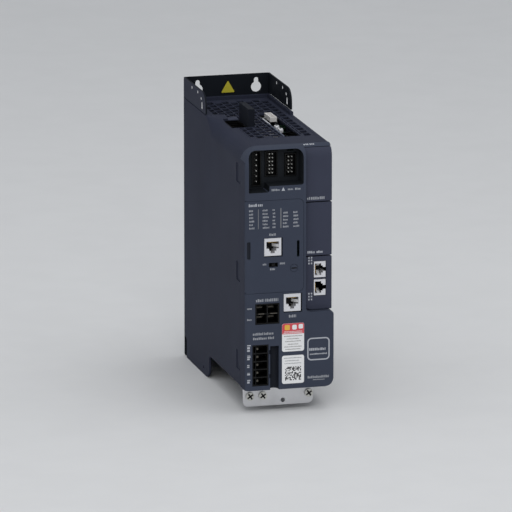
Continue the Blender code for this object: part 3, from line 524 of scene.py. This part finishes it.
def make_stage(look):
    """Pale floor that curves up behind, soft boxes, even sky and the camera."""
    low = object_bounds()[0].z / MM
    shape = bmesh.new()
    sweep = 2500.0
    behind = 3000.0
    profile = [(-FLOOR_REACH, low)] + arc((behind, low + sweep), sweep, 270, 360, 16)
    profile += [(behind + sweep, low + 7000.0)]
    for side in (-FLOOR_REACH, FLOOR_REACH):
        for y, z in profile:
            shape.verts.new((side * MM, y * MM, z * MM))
    shape.verts.ensure_lookup_table()
    count = len(profile)
    for i in range(count - 1):
        face = shape.faces.new([shape.verts[j] for j in (i, i + 1, count + i + 1, count + i)])
        face.smooth = True
    FINISHES["floor"] = coated("pale_floor", look.floor, 0.8, 40.0, 0.02, 0.01)
    floor = as_object("floor", shape, "floor")
    floor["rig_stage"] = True
    world = bpy.data.worlds.new("even_sky")
    world.use_nodes = True
    sky = world.node_tree.nodes["Background"]
    sky.inputs["Color"].default_value = (0.93, 0.96, 1.0, 1.0)
    sky.inputs["Strength"].default_value = look.sky
    bpy.context.scene.world = world
    bpy.context.scene.view_settings.view_transform = "Standard"
    soft_box("key_light", (-0.7, -2.7, 2.1), look.key, 1.6)
    soft_box("top_light", (0.2, -0.3, 1.9), look.top, 1.4)
    camera_data = bpy.data.cameras.new("camera")
    camera_data.lens = look.lens
    camera_data.sensor_width = 36.0
    camera_data.clip_end = 60.0
    camera = bpy.data.objects.new("camera", camera_data)
    camera.location = look.camera_place
    aim = Vector(look.camera_target) - Vector(look.camera_place)
    camera.rotation_euler = aim.to_track_quat("-Z", "Y").to_euler()
    bpy.context.scene.collection.objects.link(camera)
    bpy.context.scene.camera = camera


def soft_box(name, place, power, size):
    """Square area light aimed at the drive."""
    light = bpy.data.lights.new(name, "AREA")
    light.shape = "SQUARE"
    light.size = size
    light.energy = power
    lamp = bpy.data.objects.new(name, light)
    lamp.location = place
    lamp.rotation_euler = (AIM - Vector(place)).to_track_quat("-Z", "Y").to_euler()
    bpy.context.scene.collection.objects.link(lamp)


# Pieces.


def middle_of(face):
    """Centre of a face in millimetres."""
    return face.calc_center_median() / MM


def refine_shells(sizes):
    """Housing, rear plate, covers and key block."""
    refine("housing", ("housing",), sizes.edge)
    refine_rear_plate(sizes)
    refine_front_cover(sizes)
    refine_lid(sizes)
    for node in ("upper_slot_cover", "lower_slot_cover", "bus_module"):
        refine(node, ("column",), sizes.edge)
    refine("key_block", ("block",), sizes.edge)


def refine_rear_plate(sizes):
    """Wall plate: outer faces like the housing, inward faces in the dark plate colour as painted shade,
    near-white bare edges in the ears' holes as a painted highlight.
    """
    low, high = corners("rear_bracket")
    shoulder = corners("housing")[1].z + 2.0
    outer = HALF_WIDTH - 0.05
    sheet = 1.2
    ear_curve = (low.y + 11.9, high.z - 12.9)

    def side(face):
        middle = middle_of(face)
        # Faces toward the wall and outwards keep the housing coat; the other faces take the dark plate colour
        # as painted shade.
        on_wall_face = face.normal.y > 0.9 and middle.y > high.y - 0.3
        if on_wall_face or (abs(middle.x) > outer and abs(face.normal.x) > 0.9):
            return 0
        # Ear hole walls get the near-white bare edge: a real cut edge, painted bright as a highlight.
        in_ear = abs(middle.x) > outer - sheet and abs(face.normal.x) < 0.1 and middle.z >= shoulder
        off_rim = middle.z < high.z - 2.2 and low.y + 4.0 < middle.y < high.y - 4.0
        on_curve = middle.y < ear_curve[0] and middle.z > ear_curve[1] and face.calc_area() > SMALL_FACE
        return 2 if in_ear and off_rim and not on_curve else 1

    refine("rear_bracket", ("housing", "bracket", "bare_edge"), sizes.fine_edge, side)


def refine_front_cover(sizes):
    """Fascia with a dark connector recess, painted shade on the sunk faces of the plug channel, and the housing
    coat on its flank as painted shade.
    """
    behind_front = FASCIA_Y + 3.0
    recess_x = (-39.7, 13.8)
    recess_z = (188.9, 228.5)
    channel_x = (-19.5, -9.5)
    channel_top = 45.0

    def side(face):
        middle = middle_of(face)
        if middle.y > behind_front:
            on_shoulder = middle.x < -20.0 and face.normal.x < -0.1 and face.normal.z > 0.1
            outer_face = on_shoulder or (face.normal.y < -0.1 and face.normal.z > 0.1)
            in_recess = recess_x[0] < middle.x < recess_x[1] and recess_z[0] < middle.z < recess_z[1]
            if in_recess and not outer_face:
                return 1
            # Sunk faces of the plug channel: painted shade.
            if channel_x[0] < middle.x < channel_x[1] and middle.z < channel_top:
                return 2
        # Flank faces of the moulded cover take the housing coat: painted shade on the side away from the light.
        return 3 if face.normal.x < -0.95 and middle.x < 1.0 - HALF_WIDTH else 0

    refine("front_cover", ("fascia", "recess", "channel", "housing"), sizes.edge, side)


def refine_lid(sizes):
    """Input and output cover, with painted shade on the sunk faces of its finger grip."""
    grip_x = (-41.7, -36.9)
    grip_z = (125.0, 143.5)
    grip_face = 70.0 * MM ** 2

    def side(face):
        middle = middle_of(face)
        # Sunk faces in the finger grip: painted shade.
        sunk = middle.y > FASCIA_Y + 0.3 and face.calc_area() < grip_face
        return 1 if sunk and grip_x[0] < middle.x < grip_x[1] and grip_z[0] < middle.z < grip_z[1] else 0

    refine("io_cover", ("fascia", "channel"), sizes.fine_edge, side)


def refine_ports(sizes):
    """Plated shells with gold contacts; in the cavities the walls facing the light keep the bright plating as a
    painted highlight, the rest are black plastic deepened by painted shade.
    """
    for node in ("panel_port", "encoder_port", "bus_port_1", "bus_port_2"):
        low, high = corners(node)

        def cavity_light_and_shade(face, low=low, high=high):
            middle = middle_of(face)
            if any(not low[i] + PORT_RIM < middle[i] < high[i] - PORT_RIM for i in range(3)):
                return 0
            # Walls that face the light keep the bright plating as a painted highlight; the rest are black, the
            # insert's own plastic deepened by painted shade.
            lit_right_wall = face.normal.x < -0.8 and middle.x > (low.x + high.x) / 2
            lit_lower_step = face.normal.z > 0.8 and middle.z < (low.z + high.z) / 2
            return 0 if lit_right_wall or lit_lower_step else 1

        refine(node, ("plated", "black"), sizes.fine_edge, cavity_light_and_shade)
        refine(node + "_contacts", ("gold",), 0.0)
        port_springs(node, low, high)


def port_springs(node, low, high):
    """Sprung earth tabs that lean into a modular socket."""
    middle_x = (low.x + high.x) / 2
    middle_z = (low.z + high.z) / 2
    front = low.y
    shape = bmesh.new()
    if "bus" in node:
        for side in (-1, 1):
            wall = middle_z + side * 5.5
            tab = [(front + 0.6, wall), (front + 1.0, wall), (front + 7.0, wall - side * 3.2),
                   (front + 6.7, wall - side * 3.5)]
            add_prism(shape, tab, "x", middle_x - 2.4, middle_x + 0.4)
    else:
        wall = middle_x + 5.9
        tab = [(wall, front + 0.6), (wall, front + 1.1),
               (wall - 4.6, front + 7.2), (wall - 5.0, front + 6.8)]
        add_prism(shape, tab, "z", middle_z - 0.6, middle_z + 2.2)
    settle(as_object(node + "_springs", shape, "bare_edge"), body_of(node))


def refine_sockets(sizes):
    """Power sockets, headers and their pins."""
    for node in ("motor_header", "dc_bus_socket", "switch_body"):
        refine(node, ("black",), sizes.fine_edge)
    for node in ("mains_header", "black_connector", "clip_carrier"):
        refine(node, ("deep",), sizes.fine_edge)
    for node in ("relay_header", "wide_header", "small_header"):
        refine(node, ("black",), sizes.fine_edge)
        refine(node + "_pins", ("tin",), sizes.fine_edge)
    for node in ("motor_pins", "dc_bus_contacts", "mains_pins", "black_connector_pins"):
        refine(node, ("dull",), sizes.fine_edge)
    refine("white_connector", ("white",), sizes.fine_edge)
    refine("earth_clip", ("plated",), sizes.fine_edge)
    refine("bus_link", ("plated",), sizes.fine_edge)
    refine("switch_knob", ("black",), sizes.fine_edge)
    refine("lid_lock", ("fascia",), sizes.fine_edge)
    # Black box inside the lock's slot: painted shade.
    low, high = corners("lid_lock")
    centre = (low + high) / 2
    shape = bmesh.new()
    add_box(shape, span(centre.x, 5.3), (low.y + 0.25, low.y + 0.7), span(centre.z, 1.3))
    settle(as_object("lock_slot_painted_shade", shape, "black"), "lid_lock")


def make_socket_ticks():
    """Pale marks on the cross wall of the direct-current socket."""
    front = corners("dc_bus_socket")[0].y
    shape = bmesh.new()
    for x in ((-30.0, -24.5), (-18.8, -12.2)):
        add_box(shape, x, (front - 0.05, front + 0.1), (73.05, 73.75))
    settle(as_object("socket_marks", shape, "dull"), "drive")


def refine_ground(sizes):
    """Brushed plate and its screws, with painted shade in the screws' cross recesses."""
    refine("ground_plate", ("steel",), sizes.fine_edge)
    for number in (1, 2, 3):
        low, high = corners(f"ground_screw_{number}")

        def recess(face, low=low, high=high):
            middle = middle_of(face)
            off_centre = math.hypot(middle.x - (low.x + high.x) / 2, middle.z - (low.z + high.z) / 2)
            # Faces in the cross recess are black: painted shade.
            return 1 if low.y + 0.2 < middle.y < low.y + 1.2 and off_centre < 3.3 else 0

        refine(f"ground_screw_{number}", ("tin", "black"), sizes.fine_edge, recess)


def refine_inside(sizes):
    """Heatsink, fans, boards and power parts."""
    looks = {
        "heatsink": "aluminium", "fan_left_frame": "black", "fan_right_frame": "black",
        "bottom_grille": "housing",
        "power_board": "board", "control_board": "board", "bus_module_board": "board",
        "power_module": "black", "mains_choke": "copper", "aux_transformer": "ferrite",
        "inrush_relay": "relay", "insulating_sheet": "film",
    }
    for node, finish in looks.items():
        refine(node, (finish,), sizes.fine_edge)
    for number in (1, 2, 3):
        refine(f"bus_capacitor_{number}", ("sleeve", "aluminium"), sizes.edge, can_end)
    for node in ("fan_left_rotor", "fan_right_rotor"):
        fan_rotor(node, sizes)
    make_board_parts()


def can_end(face):
    """1 on the bare ends of a capacitor's can, 0 on its sleeve."""
    return int(abs(face.normal.x) > 0.9)


def fan_rotor(node, sizes):
    """Hub with seven twisted blades and a plain disc on its face."""
    low, high = corners(node)
    centre = (low + high) / 2
    tip = (high.x - low.x) / 2 - 0.3
    hub = 9.4
    blades = 7
    margin = 1.4
    shape = bmesh.new()
    add_prism(shape, arc(centre, hub, 0, 352.5, 47), "z", low.z, high.z)
    add_prism(shape, arc(centre, hub - 1.6, 0, 352.5, 47), "z", low.z - 0.08, low.z + 0.2, 1)
    for blade in range(blades):
        add_blade(shape, centre, 360.0 * blade / blades, (hub - 0.6, tip), (low.z + margin, high.z - margin))
    smooth_curves(shape)
    settle(as_object(node + "_blades", shape, "black", "label_ink"), body_of(node),
           sizes.fine_edge, (node,))


def add_blade(shape, centre, start, reach, heights):
    """Thin curved blade from the hub to the tip, climbing along its sweep."""
    bands = 4
    steps = 5
    layers = []
    for lift in (-0.4, 0.4):
        rows = []
        for i in range(bands + 1):
            radius = reach[0] + (reach[1] - reach[0]) * i / bands
            row = []
            for j in range(steps + 1):
                share = j / steps
                turn = math.radians(start + 4.0 * i + 38.0 * share)
                x = centre.x + radius * math.cos(turn)
                y = centre.y + radius * math.sin(turn)
                z = heights[0] + (heights[1] - heights[0]) * math.sin(share * math.pi / 2) + lift
                row.append(shape.verts.new((x * MM, y * MM, z * MM)))
            rows.append(row)
        layers.append(rows)
    rims = []
    for rows in layers:
        for i in range(bands):
            for j in range(steps):
                shape.faces.new((rows[i][j], rows[i][j + 1], rows[i + 1][j + 1], rows[i + 1][j]))
        trailing = [row[-1] for row in rows[1:]]
        leading = [row[0] for row in rows[-2:0:-1]]
        rims.append(rows[0] + trailing + rows[-1][-2::-1] + leading)
    for i in range(len(rims[0])):
        j = (i + 1) % len(rims[0])
        shape.faces.new((rims[0][i], rims[0][j], rims[1][j], rims[1][i]))


def near(one, other):
    """Whether two spans touch or come closer than two soldered parts may."""
    return one[0] < other[1] + PART_GAP and one[1] > other[0] - PART_GAP


def fill_board(node, axis, side, area, clear, seed):
    """Chips, capacitors and resistors soldered to one face of a board, clear of its neighbours."""
    low, high = corners(node)
    face = (low if side < 0 else high)[axis]
    rng = random.Random(seed)
    (u_low, u_high), (v_low, v_high) = area
    taken = list(clear)
    shape = bmesh.new()
    for size_u, size_v, height, finish, count in BOARD_PARTS:
        for _ in range(count):
            if rng.random() < 0.5:
                size_u, size_v = size_v, size_u
            u = rng.uniform(u_low, u_high - size_u)
            v = rng.uniform(v_low, v_high - size_v)
            across, along = (u, u + size_u), (v, v + size_v)
            if any(near(across, (a, b)) and near(along, (c, d)) for a, b, c, d in taken):
                continue
            taken.append((*across, *along))
            depth = sorted((face - side * 0.1, face + side * height))
            if axis:
                add_box(shape, across, depth, along, finish)
            else:
                add_box(shape, depth, across, along, finish)
    face_name = "front" if side < 0 else "back"
    piece = as_object(f"{node}_{face_name}_parts", shape, "black", "dull", "tin", "white")
    settle(piece, body_of(node))


def make_board_parts():
    """Soldered parts on the boards that show when a cover or the module is pulled off."""
    low, high = corners("bus_module_board")
    area = ((low.y + 2.0, high.y - 3.0), (low.z + 2.0, high.z - 2.0))
    ports = [corners(name) for name in ("bus_port_1", "bus_port_2")]
    clear = [(a.y, b.y, a.z, b.z) for a, b in ports]
    fill_board("bus_module_board", 0, -1, area, clear, 61)
    fill_board("bus_module_board", 0, 1, area, clear, 62)
    lid_low, lid_high = corners("io_cover")
    ports = [corners(name) for name in ("panel_port", "switch_body", "lid_lock", "encoder_port")]
    clear = [(a.x, b.x, a.z, b.z) for a, b in ports]
    area = ((lid_low.x + 8.0, lid_high.x - 2.0), (lid_low.z + 2.0, lid_high.z - 2.0))
    fill_board("control_board", 1, -1, area, clear, 63)


def slot_lines(start, end, pitch, width, offset=0.0):
    """Edges of evenly spaced slots inside a stretch."""
    lines = []
    count = int((end - start - 2.0 - offset) // pitch)
    first = start + 1.2 + offset
    for i in range(count + 1):
        low = first + i * pitch
        if low + width < end - 1.0:
            lines.append((low, low + width))
    return lines


def lattice(name, x, y, z, holes, outside, node, sizes):
    """Grille plate with long slots, staggered from one row to the next, and openings left out."""
    pitch = sizes.slot_pitch / MM
    step = sizes.slot_step / MM
    columns = slot_lines(x[0], x[1], pitch, sizes.slot_width / MM)
    straight = slot_lines(y[0], y[1], step, sizes.slot_length / MM)
    shifted = slot_lines(y[0], y[1], step, sizes.slot_length / MM, step / 2)
    margin = 1.3
    holes = holes + [outside]
    grown = [((a[0] - margin, a[1] + margin), (b[0] - margin, b[1] + margin)) for a, b in holes]
    xs = sorted({*x, *[v for pair in columns for v in pair], *[v for a, _ in holes + grown for v in a]})
    ys = sorted({*y, *[v for pair in straight + shifted for v in pair],
                 *[v for _, b in holes + grown for v in b]})
    xs = [v for v in xs if x[0] <= v <= x[1]]
    ys = [v for v in ys if y[0] <= v <= y[1]]

    def within(boxes, u, v):
        return any(a[0] < u < a[1] and b[0] < v < b[1] for a, b in boxes)

    def filled(u, v):
        if within(holes, u, v):
            return False
        if within(grown, u, v):
            return True
        for i, column in enumerate(columns):
            if column[0] < u < column[1]:
                rows = shifted if i % 2 else straight
                return not any(low < v < high for low, high in rows)
        return True

    piece = slab(name, xs, ys, filled, z, "housing")
    return settle(piece, "drive", sizes.fine_edge, (node,))


def make_top_lattice(sizes):
    """Vented plate in the top, the rail along its window painted light as a highlight, and the lip behind the
    mains pocket.
    """
    low, high = corners("top_grille")
    pocket_low, pocket_high = corners("mains_header")
    plug_high = corners("white_connector")[1]
    window_x = (corners("earth_clip")[0].x - 0.6, plug_high.x + 2.2)
    window_y = (corners("black_connector")[0].y - 1.0, plug_high.y + 4.0)
    pocket_x = (pocket_low.x - 1.0, corners("key_block")[1].x + 0.3)
    pocket_y = (pocket_low.y - 0.3, pocket_high.y + 0.3)
    holes = [(pocket_x, pocket_y), (window_x, window_y)]
    outside = ((low.x - 1.0, WING_EDGE[0]), (low.y - 1.0, WING_EDGE[1]))
    lattice("top_lattice", *zip(low, high), holes, outside, "top_grille", sizes)
    shape = bmesh.new()
    # The rail's pale colour is a painted highlight on the window's lit rim.
    rail_x = (window_x[0] - 1.1, window_x[0] - 0.1)
    add_box(shape, rail_x, (window_y[0], window_y[0] + 59.0), (high.z - 0.2, high.z + 0.7))
    settle(as_object("window_rail", shape, "rail"), "drive", sizes.fine_edge)
    shape = bmesh.new()
    back = pocket_high.y
    lip = [(back + 0.5, high.z - 0.1), (back + 3.6, high.z + 1.3),
           (back + 7.0, high.z + 1.3), (back + 7.0, high.z - 0.1)]
    add_prism(shape, lip, "x", pocket_low.x + 1.2, pocket_high.x)
    settle(as_object("pocket_lip", shape, "column"), "drive", sizes.fine_edge)


def make_terminals(sizes):
    """Slotted screw heads on the link's posts, under the window; a black disc on each head is painted shade in
    its slot.
    """
    low, high = corners("bus_link")
    shape = bmesh.new()
    middle = (low.x + high.x) / 2 - 0.3
    for y in (low.y + 6.0, high.y - 6.0):
        add_prism(shape, arc((middle, y), 2.3, 0, 342, 19), "z", high.z - 0.3, high.z + 0.7, 0)
        # Black disc in the head's middle: painted shade for the slot.
        add_prism(shape, arc((middle, y), 1.0, 0, 324, 9), "z", high.z + 0.5, high.z + 0.78, 1)
    settle(as_object("terminal_screws", shape, "bare_edge", "black"), "drive")


def make_fascia_print():
    """Marks on the fixed front cover."""
    boxes = [
        (-17.5, -9.6, 190.0, 192.0), (-2.0, 3.0, 190.1, 191.6), (5.0, 10.6, 190.0, 192.0),
        (-32.5, -24.8, 85.0, 87.8), (-23.5, -17.6, 85.0, 87.8), (-17.0, -11.0, 85.0, 87.8),
        (-41.0, -36.6, 78.2, 79.7), (-41.0, -36.4, 67.7, 69.4), (-0.8, 6.2, 68.4, 71.0),
        (-35.5, -25.6, 53.2, 55.6), (-24.8, -15.8, 53.2, 55.6),
        (-35.3, -22.0, 48.9, 51.2), (-21.0, -14.8, 48.9, 51.2),
        (17.4, 38.0, 8.6, 10.9), (22.6, 34.0, 6.6, 7.6),
    ]
    print_marks("fascia_words", words(boxes, 11), FASCIA_Y, "drive", "thin_ink")
    rotated = [(-41.0, -37.6, 38.0, 44.4), (-41.0, -37.8, 30.0, 34.6), (-41.0, -38.2, 22.6, 25.4),
               (-41.0, -38.2, 15.4, 17.6), (-41.0, -38.0, 7.6, 11.0)]
    rng = random.Random(5)
    blocks = []
    for x0, x1, z0, z1 in rotated:
        blocks += [(a, b, c, d) for c, d, a, b in word((z0, z1), (x0, x1), rng)]
    print_marks("pole_marks", blocks, FASCIA_Y, "drive")
    shape = bmesh.new()
    arrow = [(-8.0, 189.8), (-4.6, 189.8), (-6.3, 193.2)]
    add_prism(shape, arrow, "y", FASCIA_Y - 0.05, FASCIA_Y + 0.05)
    settle(as_object("plug_arrow", shape, "ink"), "drive")


def make_lid_print():
    """Title, terminal table and small marks on the input/output cover."""
    rows = (172.2, 168.9, 165.6, 162.3, 159.0, 155.7)
    columns = (
        ((-39.2, -34.4), rows), ((-26.3, -20.4), rows), ((-16.7, -13.2), rows),
        ((-6.7, -2.0), rows[1:]), ((3.1, 8.4), rows[1:]),
    )
    rng = random.Random(7)
    title = words([(-39.4, -31.6, 176.1, 178.8), (-30.6, -25.6, 176.1, 178.8)], 3)
    print_marks("lid_title", title, FASCIA_Y, "io_cover")
    blocks = []
    for (x0, x1), levels in columns:
        for z in levels:
            end = x1 + rng.uniform(-1.2, 1.0)
            blocks += word((x0 + rng.uniform(0.0, 0.5), end), span(z, 1.7), rng)
    blocks += words([
        (-19.8, -13.5, 147.6, 149.8), (-26.0, -22.6, 119.8, 121.6), (-9.5, -4.8, 119.8, 121.6),
        (-19.0, -13.8, 114.8, 116.6),
    ], 4)
    print_marks("lid_words", blocks, FASCIA_Y, "io_cover", "thin_ink")
    rules = [(-30.5, -29.9, 154.6, 173.4), (-9.1, -8.1, 154.6, 173.4)]
    print_marks("lid_rules", rules, FASCIA_Y, "io_cover", "soft_ink")


def make_column_print():
    """Marks on the option covers, the bus module and the strap above them."""
    upper = words([(18.7, 21.9, 178.0, 180.6), (22.2, 29.9, 178.0, 180.6), (30.6, 35.7, 178.0, 180.6)], 21)
    print_marks("upper_cover_words", upper, COLUMN_Y, "upper_slot_cover", "thin_ink")
    lower = words([(18.9, 25.9, 126.8, 129.0), (27.7, 33.7, 126.8, 129.0)], 22)
    print_marks("lower_cover_words", lower, COLUMN_Y, "lower_slot_cover")
    tilted = words([(17.0, 22.0, -1.3, 1.3), (23.0, 28.0, -1.3, 1.3)], 23)
    strap = print_marks("strap_words", tilted, 0.0, "drive")
    turn = math.radians(STRAP_TURN)
    radius = TOP_RADIUS + 0.02
    strap.rotation_euler = (-turn, 0.0, 0.0)
    strap.location = (0.0, (COLUMN_Y + TOP_RADIUS - radius * math.cos(turn)) * MM,
                      (TOP_HEIGHT - TOP_RADIUS + radius * math.sin(turn)) * MM)
    levels = (116.4, 119.2, 121.8, 81.8, 84.6, 87.4)
    lamps = [(x, x + 1.3, z, z + 1.6) for x in (19.8, 22.3) for z in levels]
    print_marks("lamp_marks", lamps, COLUMN_Y, "bus_module")


def make_labels(sizes):
    """Two label plates, their plain print, the outline badge and the rear sticker."""
    lift = sizes.label_lift / MM
    front = FASCIA_Y - lift
    for name, z, head in (("upper_label", (35.8, 62.8), 52.6), ("lower_label", (4.9, 32.0), None)):
        shape = bmesh.new()
        add_prism(shape, rounded((-7.4, 13.9), z, 2.0), "y", front, FASCIA_Y + 0.05)
        settle(as_object(name, shape, "paper"), "drive")
        if head:
            band = bmesh.new()
            outline = [(-7.3, head), (13.8, head)] + arc((11.8, z[1] - 2.1), 2.0, 0, 90, 5)
            outline += arc((-5.3, z[1] - 2.1), 2.0, 90, 180, 5)
            add_prism(band, outline, "y", front - 0.03, front + 0.02)
            settle(as_object("label_head", band, "band"), "drive")
    marks = bmesh.new()
    add_prism(marks, rounded((-4.9, 0.1), (56.4, 61.4), 1.2), "y", front - 0.05, front, 0)
    add_prism(marks, rounded((2.4, 6.8), (56.6, 61.2), 1.2), "y", front - 0.05, front, 1)
    add_prism(marks, rounded((8.6, 12.8), (57.2, 61.6), 1.0), "y", front - 0.05, front, 1)
    settle(as_object("label_patches", marks, "amber", "paper"), "drive")
    lines = [(-5.6 + inset, 12.0 - inset, z, z + 0.7) for z, inset in
             ((50.2, 0.0), (47.6, 2.6), (45.2, 1.2), (42.4, 3.8), (40.0, 0.4), (37.6, 1.6))]
    pale = [(-6.0, 12.4, 53.2, 54.0), (-5.2, 12.0, 54.6, 55.3)]
    print_marks("label_lines", words(lines, 31), front, "drive", "label_ink")
    print_marks("label_head_lines", words(pale, 32), front - 0.03, "drive", "paper")
    small = [(-5.6, 11.6, 29.2, 29.8), (-4.4, 9.0, 26.6, 27.2), (-5.0, 11.0, 24.0, 24.6)]
    print_marks("lower_label_lines", words(small, 33), front, "drive", "soft_ink")
    make_code_patch(front)
    make_badge()
    make_sticker()


def make_code_patch(front):
    """Patch of scattered square blocks on the lower label."""
    rng = random.Random(41)
    size = 1.1
    blocks = []
    for i in range(14):
        for j in range(12):
            if rng.random() < 0.6:
                x = -4.4 + i * size
                z = 8.0 + j * size
                blocks.append((x, x + size * 0.94, z, z + size * 0.94))
    print_marks("code_blocks", blocks, front, "drive", "code")


def make_badge():
    """Rounded outline printed on the fascia, with two plain lines inside it."""
    shape = bmesh.new()
    outer = rounded((17.0, 38.7), (25.8, 47.5), 4.0, 6)
    inner = rounded((18.2, 37.5), (27.0, 46.3), 2.9, 6)
    levels = ((FASCIA_Y - 0.05) * MM, (FASCIA_Y + 0.05) * MM)
    rings = []
    for y in levels:
        for ring in (outer, inner):
            rings.append([shape.verts.new((x * MM, y, z * MM)) for x, z in ring])
    count = len(outer)
    for i in range(count):
        j = (i + 1) % count
        for a, b in ((0, 1), (1, 3), (3, 2), (2, 0)):
            shape.faces.new((rings[a][i], rings[a][j], rings[b][j], rings[b][i]))
    settle(as_object("outline_badge", shape, "ink"), "drive")
    lines = words([(18.9, 34.6, 35.2, 37.6), (19.4, 36.4, 31.2, 32.6)], 51)
    print_marks("badge_lines", lines, FASCIA_Y, "drive")


def make_sticker():
    """Plain yellow triangle on the front of the wall plate."""
    plate_front = corners("rear_bracket")[1].y - 1.5
    middle = (0.9, 240.0)
    layers = (("sticker_edge", 1.0, 0.1, "black"), ("plate_sticker", 0.8, 0.16, "sticker"))
    for name, scale, lift, finish in layers:
        shape = bmesh.new()
        outline = []
        for (x, z), start in zip(((0.0, 7.4), (-7.0, -4.6), (7.0, -4.6)), (30, 150, 270)):
            outline += arc((middle[0] + x * scale, middle[1] + z * scale), 0.9 * scale, start, start + 120, 4)
        add_prism(shape, outline, "y", plate_front - lift, plate_front + 0.05)
        settle(as_object(name, shape, finish), "drive")


# Operators.


class DRIVE_OT_stage(bpy.types.Operator):
    """Make the floor, the lights and the camera"""

    bl_idname = "drive.stage"
    bl_label = "Stage"

    def execute(self, context):
        make_stage(context.scene.drive_stage)
        return {"FINISHED"}


class DRIVE_OT_finishes(bpy.types.Operator):
    """Make the finishes that the other steps use"""

    bl_idname = "drive.finishes"
    bl_label = "Finishes"

    def execute(self, context):
        make_finishes(context.scene.drive_colours)
        return {"FINISHED"}


class DRIVE_OT_shells(bpy.types.Operator):
    """Finish the housing, the wall plate and the covers"""

    bl_idname = "drive.shells"
    bl_label = "Shells"

    def execute(self, context):
        refine_shells(context.scene.drive_sizes)
        return {"FINISHED"}


class DRIVE_OT_ports(bpy.types.Operator):
    """Finish the modular ports"""

    bl_idname = "drive.ports"
    bl_label = "Ports"

    def execute(self, context):
        refine_ports(context.scene.drive_sizes)
        return {"FINISHED"}


class DRIVE_OT_sockets(bpy.types.Operator):
    """Finish the sockets, headers and small controls"""

    bl_idname = "drive.sockets"
    bl_label = "Sockets"

    def execute(self, context):
        refine_sockets(context.scene.drive_sizes)
        make_socket_ticks()
        return {"FINISHED"}


class DRIVE_OT_ground(bpy.types.Operator):
    """Finish the grounding plate and its screws"""

    bl_idname = "drive.ground"
    bl_label = "Grounding plate"

    def execute(self, context):
        refine_ground(context.scene.drive_sizes)
        return {"FINISHED"}


class DRIVE_OT_inside(bpy.types.Operator):
    """Finish the heatsink, the fans and the boards"""

    bl_idname = "drive.inside"
    bl_label = "Inside"

    def execute(self, context):
        refine_inside(context.scene.drive_sizes)
        return {"FINISHED"}


class DRIVE_OT_grilles(bpy.types.Operator):
    """Make the slotted top"""

    bl_idname = "drive.grilles"
    bl_label = "Grilles"

    def execute(self, context):
        make_top_lattice(context.scene.drive_sizes)
        make_terminals(context.scene.drive_sizes)
        return {"FINISHED"}


class DRIVE_OT_prints(bpy.types.Operator):
    """Make the printed marks"""

    bl_idname = "drive.prints"
    bl_label = "Prints"

    def execute(self, context):
        make_fascia_print()
        make_lid_print()
        make_column_print()
        return {"FINISHED"}


class DRIVE_OT_labels(bpy.types.Operator):
    """Make the labels, the badge and the sticker"""

    bl_idname = "drive.labels"
    bl_label = "Labels"

    def execute(self, context):
        make_labels(context.scene.drive_sizes)
        return {"FINISHED"}


STEPS = (
    "finishes", "stage", "shells", "ports", "sockets", "ground", "inside", "grilles", "prints", "labels",
)


class DRIVE_PT_panel(bpy.types.Panel):
    """Sidebar panel that lists the steps"""

    bl_idname = "DRIVE_PT_panel"
    bl_label = "Servo drive"
    bl_space_type = "VIEW_3D"
    bl_region_type = "UI"
    bl_category = "Drive"

    def draw(self, context):
        for step in STEPS:
            self.layout.operator("drive." + step)
        for group in ("drive_colours", "drive_sizes", "drive_stage"):
            settings = getattr(context.scene, group)
            box = self.layout.box()
            for name in settings.__annotations__:
                box.prop(settings, name)


CLASSES = (
    DriveColours, DriveSizes, DriveStage, DRIVE_OT_finishes, DRIVE_OT_stage, DRIVE_OT_shells, DRIVE_OT_ports,
    DRIVE_OT_sockets, DRIVE_OT_ground, DRIVE_OT_inside, DRIVE_OT_grilles, DRIVE_OT_prints, DRIVE_OT_labels,
    DRIVE_PT_panel,
)


def register():
    """Register the classes and hang the settings on the scene."""
    for made in CLASSES:
        bpy.utils.register_class(made)
    bpy.types.Scene.drive_colours = bpy.props.PointerProperty(type=DriveColours)
    bpy.types.Scene.drive_sizes = bpy.props.PointerProperty(type=DriveSizes)
    bpy.types.Scene.drive_stage = bpy.props.PointerProperty(type=DriveStage)


def unregister():
    """Take the settings off the scene and unregister the classes."""
    for group in ("drive_colours", "drive_sizes", "drive_stage"):
        delattr(bpy.types.Scene, group)
    for made in reversed(CLASSES):
        bpy.utils.unregister_class(made)


def main():
    """Build every step in order."""
    register()
    for step in STEPS:
        getattr(bpy.ops.drive, step)()


if __name__ == "__main__":
    main()
